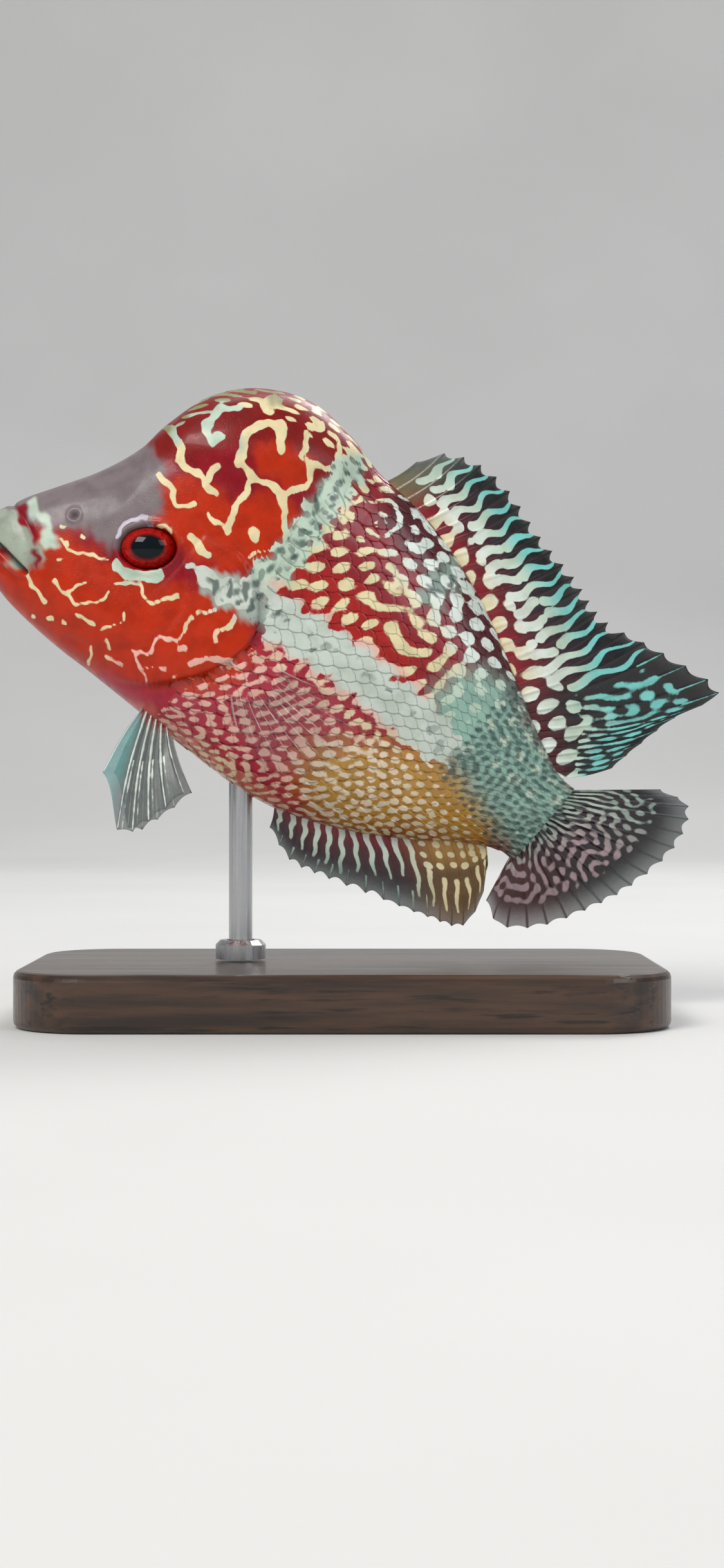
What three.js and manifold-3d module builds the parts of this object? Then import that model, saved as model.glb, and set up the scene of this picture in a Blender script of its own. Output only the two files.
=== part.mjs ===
// A life-size display model of a young flowerhorn cichlid, held nose-up on a flat base by one rod.
//
// The fish is drawn in its own frame, in millimetres: x runs from the snout towards the tail, z towards
// the back, and y across the body, with the left side at negative y. The whole fish is then pitched
// nose-up and set over the base. Row frame: +Z up, head towards -X, origin under the middle of the base.
import * as THREE from "three";
import { mergeVertices } from "three/addons/utils/BufferGeometryUtils.js";
import Module from "manifold-3d";

const wasm = await Module();
wasm.setup();

// Pose and stand
const PITCH = THREE.MathUtils.degToRad(29); // nose-up angle of the body axis
const BASE = { length: 80, width: 46, height: 7, corner: 9, bevel: 0.9 };
const FIN_CLEARANCE = 4; // from the lowest fin to the top of the base
const LOWEST_FIN = -47.2; // height of the lowest fin edge below the snout, once pitched
const FISH_X = -45.5; // the snout's place along the base
const FISH_Z = BASE.height + FIN_CLEARANCE - LOWEST_FIN;
const ROD = { radius: 1.5, at: [42.6, -9.9], depth: 4.5 }; // at: where it enters the belly, in the fish's frame
const COLLAR = { radius: 3.2, height: 2.4 };

// Gaps and thin cuts
const GAP = 0.3;
const BLADE_HALF_DEPTH = 20; // blades reach this far to each side of the fish

// The tail swings gently to the fish's right from BEND_START on.
const BEND_START = 44;
const BEND_LENGTH = 51;
const BEND_OFFSET = 6.5;

// Sections of the body from snout to tail root. Each is a chord from the belly line to the back line:
// back x, z, belly x, z, half width, level of the widest place on the chord, fullness above it and below it.
const SECTIONS = [
  [-1.3, 5.6, -0.9, 0.6, 2.2, 0.5, 2.2, 2.2],
  [0.6, 9.0, 1.6, -1.6, 3.9, 0.46, 2.4, 2.2],
  [3.6, 12.4, 5.0, -3.3, 5.2, 0.42, 2.6, 2.2],
  [7.6, 17.0, 10.0, -4.7, 6.3, 0.37, 2.8, 2.2],
  [10.6, 21.8, 14.5, -5.6, 7.1, 0.33, 3.2, 2.2],
  [12.2, 26.4, 18.0, -6.1, 7.7, 0.3, 3.8, 2.2],
  [15.2, 32.0, 21.5, -6.7, 8.4, 0.27, 4.4, 2.2],
  [20.2, 35.9, 25.5, -7.4, 8.9, 0.27, 4.6, 2.2],
  [26.6, 37.5, 30.0, -8.2, 9.2, 0.29, 4.2, 2.2],
  [33.0, 36.2, 35.5, -9.0, 9.2, 0.33, 3.2, 2.2],
  [38.6, 33.8, 41.0, -9.8, 8.8, 0.38, 2.3, 2.2],
  [45.0, 32.2, 46.5, -10.0, 8.2, 0.41, 1.9, 2.0],
  [52.0, 29.3, 52.5, -9.1, 7.3, 0.42, 1.8, 1.8],
  [59.0, 25.1, 58.5, -7.5, 6.1, 0.44, 1.8, 1.8],
  [66.0, 19.8, 65.0, -4.9, 4.9, 0.46, 1.8, 1.8],
  [72.0, 15.0, 70.5, -2.2, 3.6, 0.48, 1.9, 1.9],
  [77.0, 11.6, 75.0, -0.8, 2.4, 0.5, 2.0, 2.0],
  [80.0, 10.8, 77.6, -0.9, 1.4, 0.5, 2.2, 2.2],
];
const SNOUT_TIP = [-2.1, 3.1];
const RINGS_PER_SECTION = 2;
const SIDE_STEPS = 13; // facets from the back ridge to the belly on one side

// Head
const EYE = { at: [18.4, 10.9], radius: 3.6, depth: 2.7, proud: 0.9 };
const ORBIT_RIM = { radius: 4.0, tube: 0.6 };
const NOSTRIL = { at: [8.1, 10.1], radius: 0.5, depth: 1.3 };
const MOUTH_CORNER = [6.3, 0.9];
const MOUTH_FRONT = [-2.1, 2.9];
const LIP = { front: 1.3, corner: 0.6, spread: 1.45 }; // tube radii, and each lip's distance from the mouth line
const JAW_HINGE_FOOT = [9.8, -6.5];
const MOUTH_OPEN = 0.9; // the mouth's gap at the front
const HUMP_SWELL = 0.85; // how far the hump's sides stand out from the head
const HUMP_FOOT = [[8.5, 23.2], [13, 22.4], [19, 22.6], [25, 24.2], [31, 27.6], [36, 31.6], [41, 36.5]];
const GILL_COVER = {
  outline: [
    [24.0, 15.4], [28.2, 15.7], [31.8, 13.8], [34.3, 10.6], [35.2, 7.4], [34.5, 4.2], [32.3, 0.8],
    [29.2, -2.0], [25.8, -4.2], [22.0, -5.2], [18.8, -3.6], [18.6, -0.6], [20.4, 3.0], [22.2, 7.4], [23.2, 11.4],
  ],
  thickness: 1.1,
  hinge: [19.5, 7.6], // x and y of the upright line that the cover swings out on
  swing: 2.6, // degrees
};
const NECK_CUT = [[40.0, 36.5], [36.5, 26], [32.0, 14.5], [30.5, 5], [27.5, -2.5], [24.4, -9.5]];
const TAIL_CUT = [[67.5, 24], [67.2, 12], [66.5, 4], [65.6, -8]];

// Fins: where their rays leave the body and where they end, in the fish's frame
const DORSAL = {
  spines: 16,
  rays: 28,
  base: [[39.8, 33.2], [46.0, 31.8], [52.0, 29.3], [59.0, 25.1], [66.0, 19.8], [70.0, 16.6], [74.0, 13.6], [77.9, 11.2]],
  baseAt: [0, 3.5, 7, 11, 15, 19, 23, 27],
  edge: [
    [42.0, 37.4], [44.6, 40.1], [49.4, 41.0], [54.2, 39.9], [60.5, 36.8], [66.7, 34.4], [73.4, 31.6],
    [81.6, 31.7], [90.6, 31.0], [87.0, 25.2], [84.3, 19.0], [83.0, 15.6],
  ],
  edgeAt: [0, 1, 3, 5, 8, 11, 15, 18, 21, 23, 25.5, 27],
};
const ANAL = {
  spines: 8,
  rays: 18,
  base: [[47.4, -9.7], [52.5, -9.1], [58.5, -7.5], [65.0, -4.9], [69.5, -2.6], [73.6, -1.0]],
  baseAt: [0, 3, 7, 11, 14, 17],
  edge: [[48.2, -12.4], [52.4, -14.8], [58.0, -14.5], [65.4, -13.5], [71.4, -12.7], [76.0, -11.5], [76.4, -7.4], [75.0, -3.6]],
  edgeAt: [0, 2, 5, 8, 11, 14, 15.6, 17],
};
const CAUDAL = {
  spines: 0,
  rays: 18,
  base: [[79.2, 10.2], [78.6, 7.2], [77.8, 3.6], [76.9, -0.2]],
  baseAt: [0, 5, 11, 17],
  edge: [[90.0, 16.3], [94.4, 16.2], [95.4, 10.6], [92.9, 3.6], [89.0, -2.2], [84.6, -7.0], [80.0, -9.2], [77.0, -7.2]],
  edgeAt: [0, 2, 5, 8, 11, 13.5, 15.5, 17],
};
const PECTORAL = {
  spines: 0,
  rays: 13,
  base: [[35.6, 5.8], [35.9, 3.8], [35.0, 1.6]],
  baseAt: [0, 6, 12],
  edge: [[48.0, 6.2], [51.8, 3.6], [52.2, -0.4], [49.4, -4.4], [44.6, -5.8], [39.6, -3.8]],
  edgeAt: [0, 2, 5, 8, 10, 12],
  out: { base: 7.2, edge: 12.0 }, // distance from the middle plane
};
const PELVIC = {
  spines: 1,
  rays: 6,
  base: [[26.9, -7.0], [28.8, -7.4], [30.8, -7.6]],
  baseAt: [0, 2.5, 5],
  edge: [[26.9, -16.2], [31.9, -21.6], [34.8, -18.8], [37.0, -13.6]],
  edgeAt: [0, 1, 3, 5],
  out: { base: 3.0, edge: 6.6 },
};
const COLUMNS_PER_RAY = 2; // one along the ray and one along the membrane behind it
const RAY = { root: 1.15, tip: 0.5 };
const MEMBRANE = { root: 0.75, tip: 0.4 };
const FIN_SINK = 0.16; // share of a ray's length that is sunk in the body before it is trimmed
const NOTCH = { spiny: 0.1, soft: 0.035 }; // how far the membrane falls short of the ray tips

const COLOURS = {
  red: 0xb3221a,
  hump: 0xa8201c,
  trunk: 0xb5535a,
  tail: 0xa9c0a4,
  fin: 0x4b3a44,
  clear: 0xa9b3b3,
  eye: 0x12181c,
  jaw: 0xc9c2ae,
  wood: 0x3a2216,
  steel: 0xb8babd,
};

// Curves

// A smooth curve through rows of numbers, each row at its own parameter.
function curveThrough(rows, at) {
  return (parameter) => {
    let i = 0;
    while (i < at.length - 2 && parameter > at[i + 1]) i += 1;
    const share = (parameter - at[i]) / (at[i + 1] - at[i]);
    const slope = (k, j) => {
      const low = Math.max(k - 1, 0);
      const high = Math.min(k + 1, at.length - 1);
      return ((rows[high][j] - rows[low][j]) / (at[high] - at[low])) * (at[i + 1] - at[i]);
    };
    const [s2, s3] = [share ** 2, share ** 3];
    return rows[i].map(
      (start, j) =>
        (2 * s3 - 3 * s2 + 1) * start +
        (s3 - 2 * s2 + share) * slope(i, j) +
        (3 * s2 - 2 * s3) * rows[i + 1][j] +
        (s3 - s2) * slope(i + 1, j),
    );
  };
}

const smoothStep = (low, high, x) => THREE.MathUtils.smoothstep(x, low, high);
const sectionAt = curveThrough(SECTIONS, SECTIONS.map((_, i) => i));
const bend = (x) => BEND_OFFSET * (Math.max(x - BEND_START, 0) / BEND_LENGTH) ** 2;

// Body surface

// How much wider the body is at the hump than its plain section.
function humpSwell(x, z) {
  const foot = curveThrough(HUMP_FOOT, HUMP_FOOT.map((p) => p[0]));
  if (x < HUMP_FOOT[0][0] || x > HUMP_FOOT.at(-1)[0]) return 0;
  return HUMP_SWELL * smoothStep(-0.2, 0.6, z - foot(x)[1]);
}

// The place on one section at an angle from its widest level: +90 degrees is the back, -90 the belly.
function sectionPoint(parameter, angle, thinner = 0) {
  const [backX, backZ, bellyX, bellyZ, halfWidth, widest, above, below] = sectionAt(parameter);
  const reach = Math.sin(angle);
  const level = reach >= 0 ? widest + (1 - widest) * reach : widest + widest * reach;
  const fullness = reach >= 0 ? above : below;
  const share = (1 - Math.abs(reach) ** fullness) ** (1 / Math.min(fullness, 2));
  const x = THREE.MathUtils.lerp(bellyX, backX, level);
  const z = THREE.MathUtils.lerp(bellyZ, backZ, level);
  const half = Math.max(halfWidth - thinner, 0.2) + humpSwell(x, z);
  return [x, share * half, z];
}

// The body's half width beside a place in the middle plane.
function halfWidthAt(x, z) {
  const side = (k) => {
    const [backX, backZ, bellyX, bellyZ] = sectionAt(k);
    return (backX - bellyX) * (z - bellyZ) - (backZ - bellyZ) * (x - bellyX);
  };
  let [low, high] = [0, SECTIONS.length - 1];
  for (let step = 0; step < 40; step += 1) {
    const middle = (low + high) / 2;
    if (side(middle) > 0) high = middle;
    else low = middle;
  }
  const [, backZ, , bellyZ, , widest] = sectionAt(low);
  const level = THREE.MathUtils.clamp((z - bellyZ) / (backZ - bellyZ), 0, 1);
  const reach = level >= widest ? (level - widest) / (1 - widest) : (level - widest) / widest;
  return sectionPoint(low, Math.asin(THREE.MathUtils.clamp(reach, -1, 1)))[1];
}

// Solids

function geometryFrom(vertices, faces) {
  return new THREE.BufferGeometry()
    .setAttribute("position", new THREE.BufferAttribute(new Float32Array(vertices.flat()), 3))
    .setIndex(faces.flat());
}

function solidFrom(geometry) {
  const plain = geometry.clone();
  plain.deleteAttribute("normal");
  plain.deleteAttribute("uv");
  const merged = mergeVertices(plain, 1e-4);
  const made = new wasm.Manifold(
    new wasm.Mesh({
      numProp: 3,
      vertProperties: merged.attributes.position.array,
      triVerts: new Uint32Array(merged.index.array),
    }),
  );
  if (made.volume() > 0) return made;
  const turned = new Uint32Array(merged.index.array);
  for (let i = 0; i < turned.length; i += 3) [turned[i + 1], turned[i + 2]] = [turned[i + 2], turned[i + 1]];
  return new wasm.Manifold(
    new wasm.Mesh({ numProp: 3, vertProperties: merged.attributes.position.array, triVerts: turned }),
  );
}

const largest = (solid) => solid.decompose().sort((a, b) => b.volume() - a.volume())[0];

// The whole body without fins. grow moves the surface outwards along its normals, thinner narrows it.
function bodySolid({ grow = 0, thinner = 0 } = {}) {
  const rings = (SECTIONS.length - 1) * RINGS_PER_SECTION;
  const around = SIDE_STEPS * 2;
  const vertices = [[SNOUT_TIP[0], 0, SNOUT_TIP[1]]];
  for (let i = 0; i <= rings; i += 1) {
    for (let j = 0; j < around; j += 1) {
      const fromBack = j <= SIDE_STEPS ? j : around - j;
      const angle = Math.PI / 2 - (Math.PI * fromBack) / SIDE_STEPS;
      const [x, y, z] = sectionPoint(i / RINGS_PER_SECTION, angle, thinner);
      const middle = fromBack === 0 || fromBack === SIDE_STEPS;
      vertices.push([x, middle ? 0 : j < SIDE_STEPS ? -y : y, z]);
    }
  }
  const [backX, backZ, bellyX, bellyZ] = SECTIONS.at(-1);
  vertices.push([(backX + bellyX) / 2, 0, (backZ + bellyZ) / 2]);
  const at = (i, j) => 1 + i * around + (j % around);
  const faces = [];
  for (let j = 0; j < around; j += 1) {
    faces.push([0, at(0, j + 1), at(0, j)]);
    faces.push([vertices.length - 1, at(rings, j), at(rings, j + 1)]);
    for (let i = 0; i < rings; i += 1) {
      faces.push([at(i, j), at(i + 1, j + 1), at(i + 1, j)]);
      faces.push([at(i, j), at(i, j + 1), at(i + 1, j + 1)]);
    }
  }
  const geometry = geometryFrom(vertices, faces);
  geometry.computeVertexNormals();
  const { position, normal } = geometry.attributes;
  const place = new THREE.Vector3();
  const outward = new THREE.Vector3();
  for (let i = 0; i < position.count; i += 1) {
    outward.fromBufferAttribute(normal, i);
    place.fromBufferAttribute(position, i).addScaledVector(outward, grow);
    position.setXYZ(i, place.x, place.y, place.z);
  }
  return solidFrom(geometry);
}

// An outline in the middle plane, extruded across the body between two distances.
function prism(outline, from, to) {
  const shape = new THREE.Shape(outline.map(([x, z]) => new THREE.Vector2(x, z)));
  const geometry = new THREE.ExtrudeGeometry(shape, { depth: to - from, bevelEnabled: false });
  geometry.rotateX(Math.PI / 2); // the outline's y becomes z, and its depth runs towards -y
  geometry.translate(0, to, 0);
  return solidFrom(geometry);
}

// A thin curved wall along a line in the middle plane, wide enough to part the body.
function blade(line, thickness = GAP) {
  const curve = new THREE.SplineCurve(line.map(([x, z]) => new THREE.Vector2(x, z)));
  const steps = line.length * 3;
  const sides = [[], []];
  for (let i = 0; i <= steps; i += 1) {
    const point = curve.getPoint(i / steps);
    const tangent = curve.getTangent(i / steps);
    const across = new THREE.Vector2(-tangent.y, tangent.x).multiplyScalar(thickness / 2);
    sides[0].push([point.x + across.x, point.y + across.y]);
    sides[1].unshift([point.x - across.x, point.y - across.y]);
  }
  return prism(sides.flat(), -BLADE_HALF_DEPTH, BLADE_HALF_DEPTH);
}

// The gill cover's outline, smoothed and moved outwards by a margin.
function gillOutline(margin) {
  const points = GILL_COVER.outline.map(([x, z]) => new THREE.Vector3(x, z, 0));
  const curve = new THREE.CatmullRomCurve3(points, true);
  const steps = points.length * 2;
  return Array.from({ length: steps }, (_, i) => {
    const point = curve.getPoint(i / steps);
    const tangent = curve.getTangent(i / steps);
    return [point.x - tangent.y * margin, point.y + tangent.x * margin];
  });
}

function ellipsoid([x, z], y, radius, depth, segments = 20) {
  const geometry = new THREE.SphereGeometry(radius, segments, segments * 0.6);
  geometry.rotateX(Math.PI / 2);
  geometry.scale(1, depth / radius, 1);
  geometry.translate(x, y, z);
  return solidFrom(geometry);
}

// A lip: a tapered tube round the snout from one corner of the mouth to the other.
function lip(rise) {
  const steps = 18;
  const sides = 8;
  const centre = (share) => {
    const back = Math.abs(2 * share - 1) ** 1.6;
    const x = THREE.MathUtils.lerp(MOUTH_FRONT[0] + 0.75, MOUTH_CORNER[0] + 0.4, back);
    const z = THREE.MathUtils.lerp(MOUTH_FRONT[1], MOUTH_CORNER[1], back) + rise * (1 - 0.45 * back);
    const side = Math.sign(2 * share - 1);
    const inset = 0.35;
    return new THREE.Vector3(x, share === 0.5 ? 0 : side * Math.max(halfWidthAt(x, z) - inset, 0), z);
  };
  const points = Array.from({ length: steps + 1 }, (_, i) => centre(i / steps));
  const curve = new THREE.CatmullRomCurve3(points);
  const vertices = [];
  for (let i = 0; i <= steps; i += 1) {
    const point = curve.getPoint(i / steps);
    const tangent = curve.getTangent(i / steps);
    const up = new THREE.Vector3(0, 0, 1);
    const out = new THREE.Vector3().crossVectors(tangent, up).normalize();
    const radius = THREE.MathUtils.lerp(LIP.front, LIP.corner, Math.abs((2 * i) / steps - 1));
    for (let k = 0; k < sides; k += 1) {
      const turn = (2 * Math.PI * k) / sides;
      const place = point.clone().addScaledVector(out, radius * Math.cos(turn)).addScaledVector(up, radius * Math.sin(turn));
      vertices.push(place.toArray());
    }
  }
  const faces = [];
  const at = (i, k) => i * sides + (k % sides);
  for (let k = 0; k < sides; k += 1) {
    for (let i = 0; i < steps; i += 1) {
      faces.push([at(i, k), at(i + 1, k), at(i + 1, k + 1)], [at(i, k), at(i + 1, k + 1), at(i, k + 1)]);
    }
  }
  for (let k = 1; k < sides - 1; k += 1) {
    faces.push([at(0, 0), at(0, k), at(0, k + 1)], [at(steps, 0), at(steps, k + 1), at(steps, k)]);
  }
  return solidFrom(geometryFrom(vertices, faces));
}

// A fin: a membrane whose rays stand up as ridges on both faces. Both faces are split into triangles alike.
function finSolid(fin, { rows = 6, out = { base: 0, edge: 0 }, rootBoost = 1 } = {}) {
  const base = curveThrough(fin.base, fin.baseAt);
  const edge = curveThrough(fin.edge, fin.edgeAt);
  const last = COLUMNS_PER_RAY * (fin.rays - 1);
  const across = new THREE.Vector3(0, 1, 0);
  const middle = (fin.rays - 1) / 2;
  const [middleBase, middleEdge] = [base(middle), edge(middle)];
  const along = new THREE.Vector3(middleEdge[0] - middleBase[0], out.edge - out.base, middleEdge[1] - middleBase[1]);
  across.addScaledVector(along, -across.dot(along) / along.lengthSq()).normalize();
  const vertices = [[], []];
  for (let c = 0; c <= last; c += 1) {
    const ray = c / COLUMNS_PER_RAY;
    const isRay = c % COLUMNS_PER_RAY === 0;
    const [baseX, baseZ] = base(ray);
    const [edgeX, edgeZ] = edge(ray);
    const notch = isRay ? 0 : ray < fin.spines ? NOTCH.spiny : NOTCH.soft;
    const size = isRay ? RAY : MEMBRANE;
    for (let r = 0; r <= rows; r += 1) {
      const reach = THREE.MathUtils.lerp(-FIN_SINK, 1 - notch, r / rows);
      const place = new THREE.Vector3(
        THREE.MathUtils.lerp(baseX, edgeX, reach),
        THREE.MathUtils.lerp(out.base, out.edge, reach),
        THREE.MathUtils.lerp(baseZ, edgeZ, reach),
      );
      const root = size.root * (1 + (rootBoost - 1) * Math.max(1 - 4 * Math.max(reach, 0), 0));
      const half = THREE.MathUtils.lerp(root, size.tip, Math.max(reach, 0)) / 2;
      [-1, 1].forEach((side, k) => {
        vertices[k].push(place.clone().addScaledVector(across, side * half).toArray());
      });
    }
  }
  const count = vertices[0].length;
  const at = (c, r) => c * (rows + 1) + r;
  const faces = [];
  for (let c = 0; c < last; c += 1) {
    for (let r = 0; r < rows; r += 1) {
      const [a, b, d, e] = [at(c, r), at(c + 1, r), at(c + 1, r + 1), at(c, r + 1)];
      faces.push([a, b, d], [a, d, e], [count + a, count + d, count + b], [count + a, count + e, count + d]);
    }
    const [a, b] = [at(c, 0), at(c + 1, 0)];
    faces.push([a, count + a, count + b], [a, count + b, b]);
    const [d, e] = [at(c, rows), at(c + 1, rows)];
    faces.push([d, count + e, count + d], [d, e, count + e]);
  }
  for (let r = 0; r < rows; r += 1) {
    const [a, b] = [at(0, r), at(0, r + 1)];
    faces.push([a, count + b, count + a], [a, b, count + b]);
    const [d, e] = [at(last, r), at(last, r + 1)];
    faces.push([d, count + d, count + e], [d, count + e, e]);
  }
  return solidFrom(geometryFrom([...vertices[0], ...vertices[1]], faces));
}

const mirrored = (solid) => solid.mirror([0, 1, 0]);

// Sub-parts of the fish

const body = bodySolid();
const bodyWithGap = bodySolid({ grow: GAP });
const eyeHalfWidth = halfWidthAt(...EYE.at);
const eyeCentre = eyeHalfWidth + EYE.proud - EYE.depth;

function eyes() {
  const right = ellipsoid(EYE.at, eyeCentre, EYE.radius, EYE.depth);
  return { eye_left: mirrored(right), eye_right: right };
}

// The body's surface swung out on the right, so that a gill cover's rear edge stands clear of the flank.
function swungBody(solid) {
  const [x, y] = GILL_COVER.hinge;
  return solid.translate([-x, -y, 0]).rotate([0, 0, GILL_COVER.swing]).translate([x, y, 0]);
}

function gillCovers() {
  const outer = swungBody(body).intersect(prism(gillOutline(0), 1, BLADE_HALF_DEPTH));
  const right = largest(outer.subtract(bodySolid({ thinner: GILL_COVER.thickness })));
  return { gill_cover_left: mirrored(right), gill_cover_right: right };
}

function gillRecesses() {
  const recess = prism(gillOutline(GAP), 1, BLADE_HALF_DEPTH).subtract(
    bodySolid({ thinner: GILL_COVER.thickness + GAP }),
  );
  return recess.add(mirrored(recess));
}

// The rod in the fish's frame, grown by a margin.
function rodInFish(margin) {
  const [x, z] = ROD.at;
  const length = 60;
  const geometry = new THREE.CylinderGeometry(ROD.radius + margin, ROD.radius + margin, length, 20);
  geometry.rotateX(Math.PI / 2);
  geometry.translate(0, 0, ROD.depth + margin - length / 2);
  geometry.rotateY(-PITCH);
  geometry.translate(x, 0, z);
  return solidFrom(geometry);
}

// Head, lower jaw, hump, torso and tail stalk: the body with its lips and eye rims, parted by thin cuts.
function flesh() {
  const rim = new THREE.TorusGeometry(ORBIT_RIM.radius, ORBIT_RIM.tube, 7, 24);
  rim.rotateX(Math.PI / 2);
  rim.translate(EYE.at[0], eyeHalfWidth - 0.25, EYE.at[1]);
  const rightRim = solidFrom(rim);
  const socket = ellipsoid(EYE.at, eyeCentre, EYE.radius + GAP, EYE.depth + GAP);
  const pit = new THREE.CylinderGeometry(NOSTRIL.radius, NOSTRIL.radius * 0.7, NOSTRIL.depth * 2, 9);
  const nostrilSide = halfWidthAt(...NOSTRIL.at);
  pit.translate(NOSTRIL.at[0], nostrilSide, NOSTRIL.at[1]);
  const rightPit = solidFrom(pit);
  const [corner, front] = [MOUTH_CORNER, MOUTH_FRONT];
  const halfOpen = MOUTH_OPEN / 2;
  const mouth = prism(
    [
      [front[0] - 3, front[1] + halfOpen],
      [corner[0], corner[1] + GAP / 2],
      [JAW_HINGE_FOOT[0] + GAP, JAW_HINGE_FOOT[1]],
      [JAW_HINGE_FOOT[0], JAW_HINGE_FOOT[1]],
      [corner[0] - GAP, corner[1] - GAP / 2],
      [front[0] - 3, front[1] - halfOpen],
    ],
    -BLADE_HALF_DEPTH,
    BLADE_HALF_DEPTH,
  );
  const whole = body
    .add(rightRim)
    .add(mirrored(rightRim))
    .add(lip(LIP.spread))
    .add(lip(-LIP.spread))
    .subtract(socket)
    .subtract(mirrored(socket))
    .subtract(rightPit)
    .subtract(mirrored(rightPit))
    .subtract(gillRecesses())
    .subtract(rodInFish(GAP));
  const [cutNeck, cutTail, cutHump] = [NECK_CUT, TAIL_CUT, HUMP_FOOT].map((line) => blade(line));
  const pieces = whole.subtract(mouth).subtract(cutNeck).subtract(cutTail).subtract(cutHump).decompose();
  const pick = (name, [x, z]) => {
    const probe = ellipsoid([x, z], 0, 1.2, 1.2, 8);
    const found = pieces.filter((piece) => piece.intersect(probe).volume() > 1);
    if (found.length !== 1) throw new Error(`${name} was found in ${found.length} pieces`);
    return found[0];
  };
  return {
    head: pick("head", [12, 8]),
    lower_jaw: pick("lower_jaw", [4, -1.2]),
    nuchal_hump: pick("nuchal_hump", [24, 32]),
    torso: pick("torso", [48, 10]),
    tail_stalk: pick("tail_stalk", [73, 6]),
  };
}

function fins() {
  const trimmed = (fin, options) => largest(finSolid(fin, options).subtract(bodyWithGap));
  const pectoral = trimmed(PECTORAL, { rows: 5, out: PECTORAL.out });
  const pelvic = trimmed(PELVIC, { rows: 6, out: PELVIC.out });
  const covers = swungBody(bodyWithGap).intersect(prism(gillOutline(GAP), 1, BLADE_HALF_DEPTH));
  const pectoralClear = largest(pectoral.subtract(covers));
  return {
    dorsal_fin: trimmed(DORSAL, { rows: 7 }),
    anal_fin: trimmed(ANAL, { rows: 6 }),
    caudal_fin: trimmed(CAUDAL, { rows: 7, rootBoost: 2 }),
    pectoral_fin_left: mirrored(pectoralClear),
    pectoral_fin_right: pectoralClear,
    pelvic_fin_left: mirrored(pelvic),
    pelvic_fin_right: pelvic,
  };
}

// Scene

function material(colour, roughness, metalness = 0) {
  return new THREE.MeshStandardMaterial({ color: colour, roughness, metalness });
}

function meshFrom(name, solid, look) {
  const { vertProperties, triVerts } = solid.getMesh();
  const position = new Float32Array(vertProperties);
  for (let i = 0; i < position.length; i += 3) position[i + 1] += bend(position[i]);
  const geometry = new THREE.BufferGeometry()
    .setAttribute("position", new THREE.BufferAttribute(position, 3))
    .setIndex(new THREE.BufferAttribute(triVerts, 1));
  geometry.computeVertexNormals();
  const mesh = new THREE.Mesh(geometry, look);
  mesh.name = name;
  return mesh;
}

const looks = {
  head: material(COLOURS.red, 0.35),
  lower_jaw: material(COLOURS.jaw, 0.4),
  nuchal_hump: material(COLOURS.hump, 0.35),
  torso: material(COLOURS.trunk, 0.4),
  tail_stalk: material(COLOURS.tail, 0.4),
  gill_cover_left: material(COLOURS.red, 0.3),
  gill_cover_right: material(COLOURS.red, 0.3),
  eye_left: material(COLOURS.eye, 0.1),
  eye_right: material(COLOURS.eye, 0.1),
  dorsal_fin: material(COLOURS.fin, 0.45),
  anal_fin: material(COLOURS.fin, 0.45),
  caudal_fin: material(COLOURS.fin, 0.45),
  pectoral_fin_left: material(COLOURS.clear, 0.4),
  pectoral_fin_right: material(COLOURS.clear, 0.4),
  pelvic_fin_left: material(COLOURS.clear, 0.4),
  pelvic_fin_right: material(COLOURS.clear, 0.4),
};

const fish = new THREE.Group();
fish.rotation.y = PITCH;
fish.position.set(FISH_X, 0, FISH_Z);
for (const [name, solid] of Object.entries({ ...flesh(), ...gillCovers(), ...eyes(), ...fins() })) {
  fish.add(meshFrom(name, solid, looks[name]));
}

function stand() {
  const { length, width, height, corner, bevel } = BASE;
  const [halfLength, halfWidth] = [length / 2 - bevel, width / 2 - bevel];
  const shape = new THREE.Shape();
  shape.moveTo(-halfLength + corner, -halfWidth);
  shape.lineTo(halfLength - corner, -halfWidth);
  shape.absarc(halfLength - corner, -halfWidth + corner, corner, -Math.PI / 2, 0);
  shape.absarc(halfLength - corner, halfWidth - corner, corner, 0, Math.PI / 2);
  shape.absarc(-halfLength + corner, halfWidth - corner, corner, Math.PI / 2, Math.PI);
  shape.absarc(-halfLength + corner, -halfWidth + corner, corner, Math.PI, 1.5 * Math.PI);
  const plate = new THREE.ExtrudeGeometry(shape, {
    depth: height - 2 * bevel,
    bevelThickness: bevel,
    bevelSize: bevel,
    bevelSegments: 3,
    curveSegments: 8,
  });
  plate.translate(0, 0, bevel);

  const [rodFishX, rodFishZ] = ROD.at;
  const rodX = FISH_X + rodFishX * Math.cos(PITCH) + rodFishZ * Math.sin(PITCH);
  const rodTop = FISH_Z - rodFishX * Math.sin(PITCH) + rodFishZ * Math.cos(PITCH) + ROD.depth;
  const rodFoot = height + GAP;
  const rod = new THREE.CylinderGeometry(ROD.radius, ROD.radius, rodTop - rodFoot, 20);
  rod.rotateX(Math.PI / 2);

  const bore = ROD.radius + GAP;
  const profile = [
    [bore, 0],
    [COLLAR.radius, 0],
    [COLLAR.radius, COLLAR.height - 0.6],
    [COLLAR.radius - 0.6, COLLAR.height],
    [bore, COLLAR.height],
    [bore, 0],
  ];
  const ring = new THREE.LatheGeometry(profile.map(([r, z]) => new THREE.Vector2(r, z)), 24);
  ring.rotateX(Math.PI / 2);

  const group = new THREE.Group();
  const add = (name, geometry, x, z, look) => {
    const mesh = new THREE.Mesh(geometry, look);
    mesh.name = name;
    mesh.position.set(x, 0, z);
    group.add(mesh);
  };
  add("stand_base", plate, 0, 0, material(COLOURS.wood, 0.45));
  add("stand_rod", rod, rodX, (rodTop + rodFoot) / 2, material(COLOURS.steel, 0.3, 1));
  add("stand_collar", ring, rodX, height + GAP, material(COLOURS.steel, 0.3, 1));
  return group;
}

const model = new THREE.Group();
model.add(fish, stand());
export default model;
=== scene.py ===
import math

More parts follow.
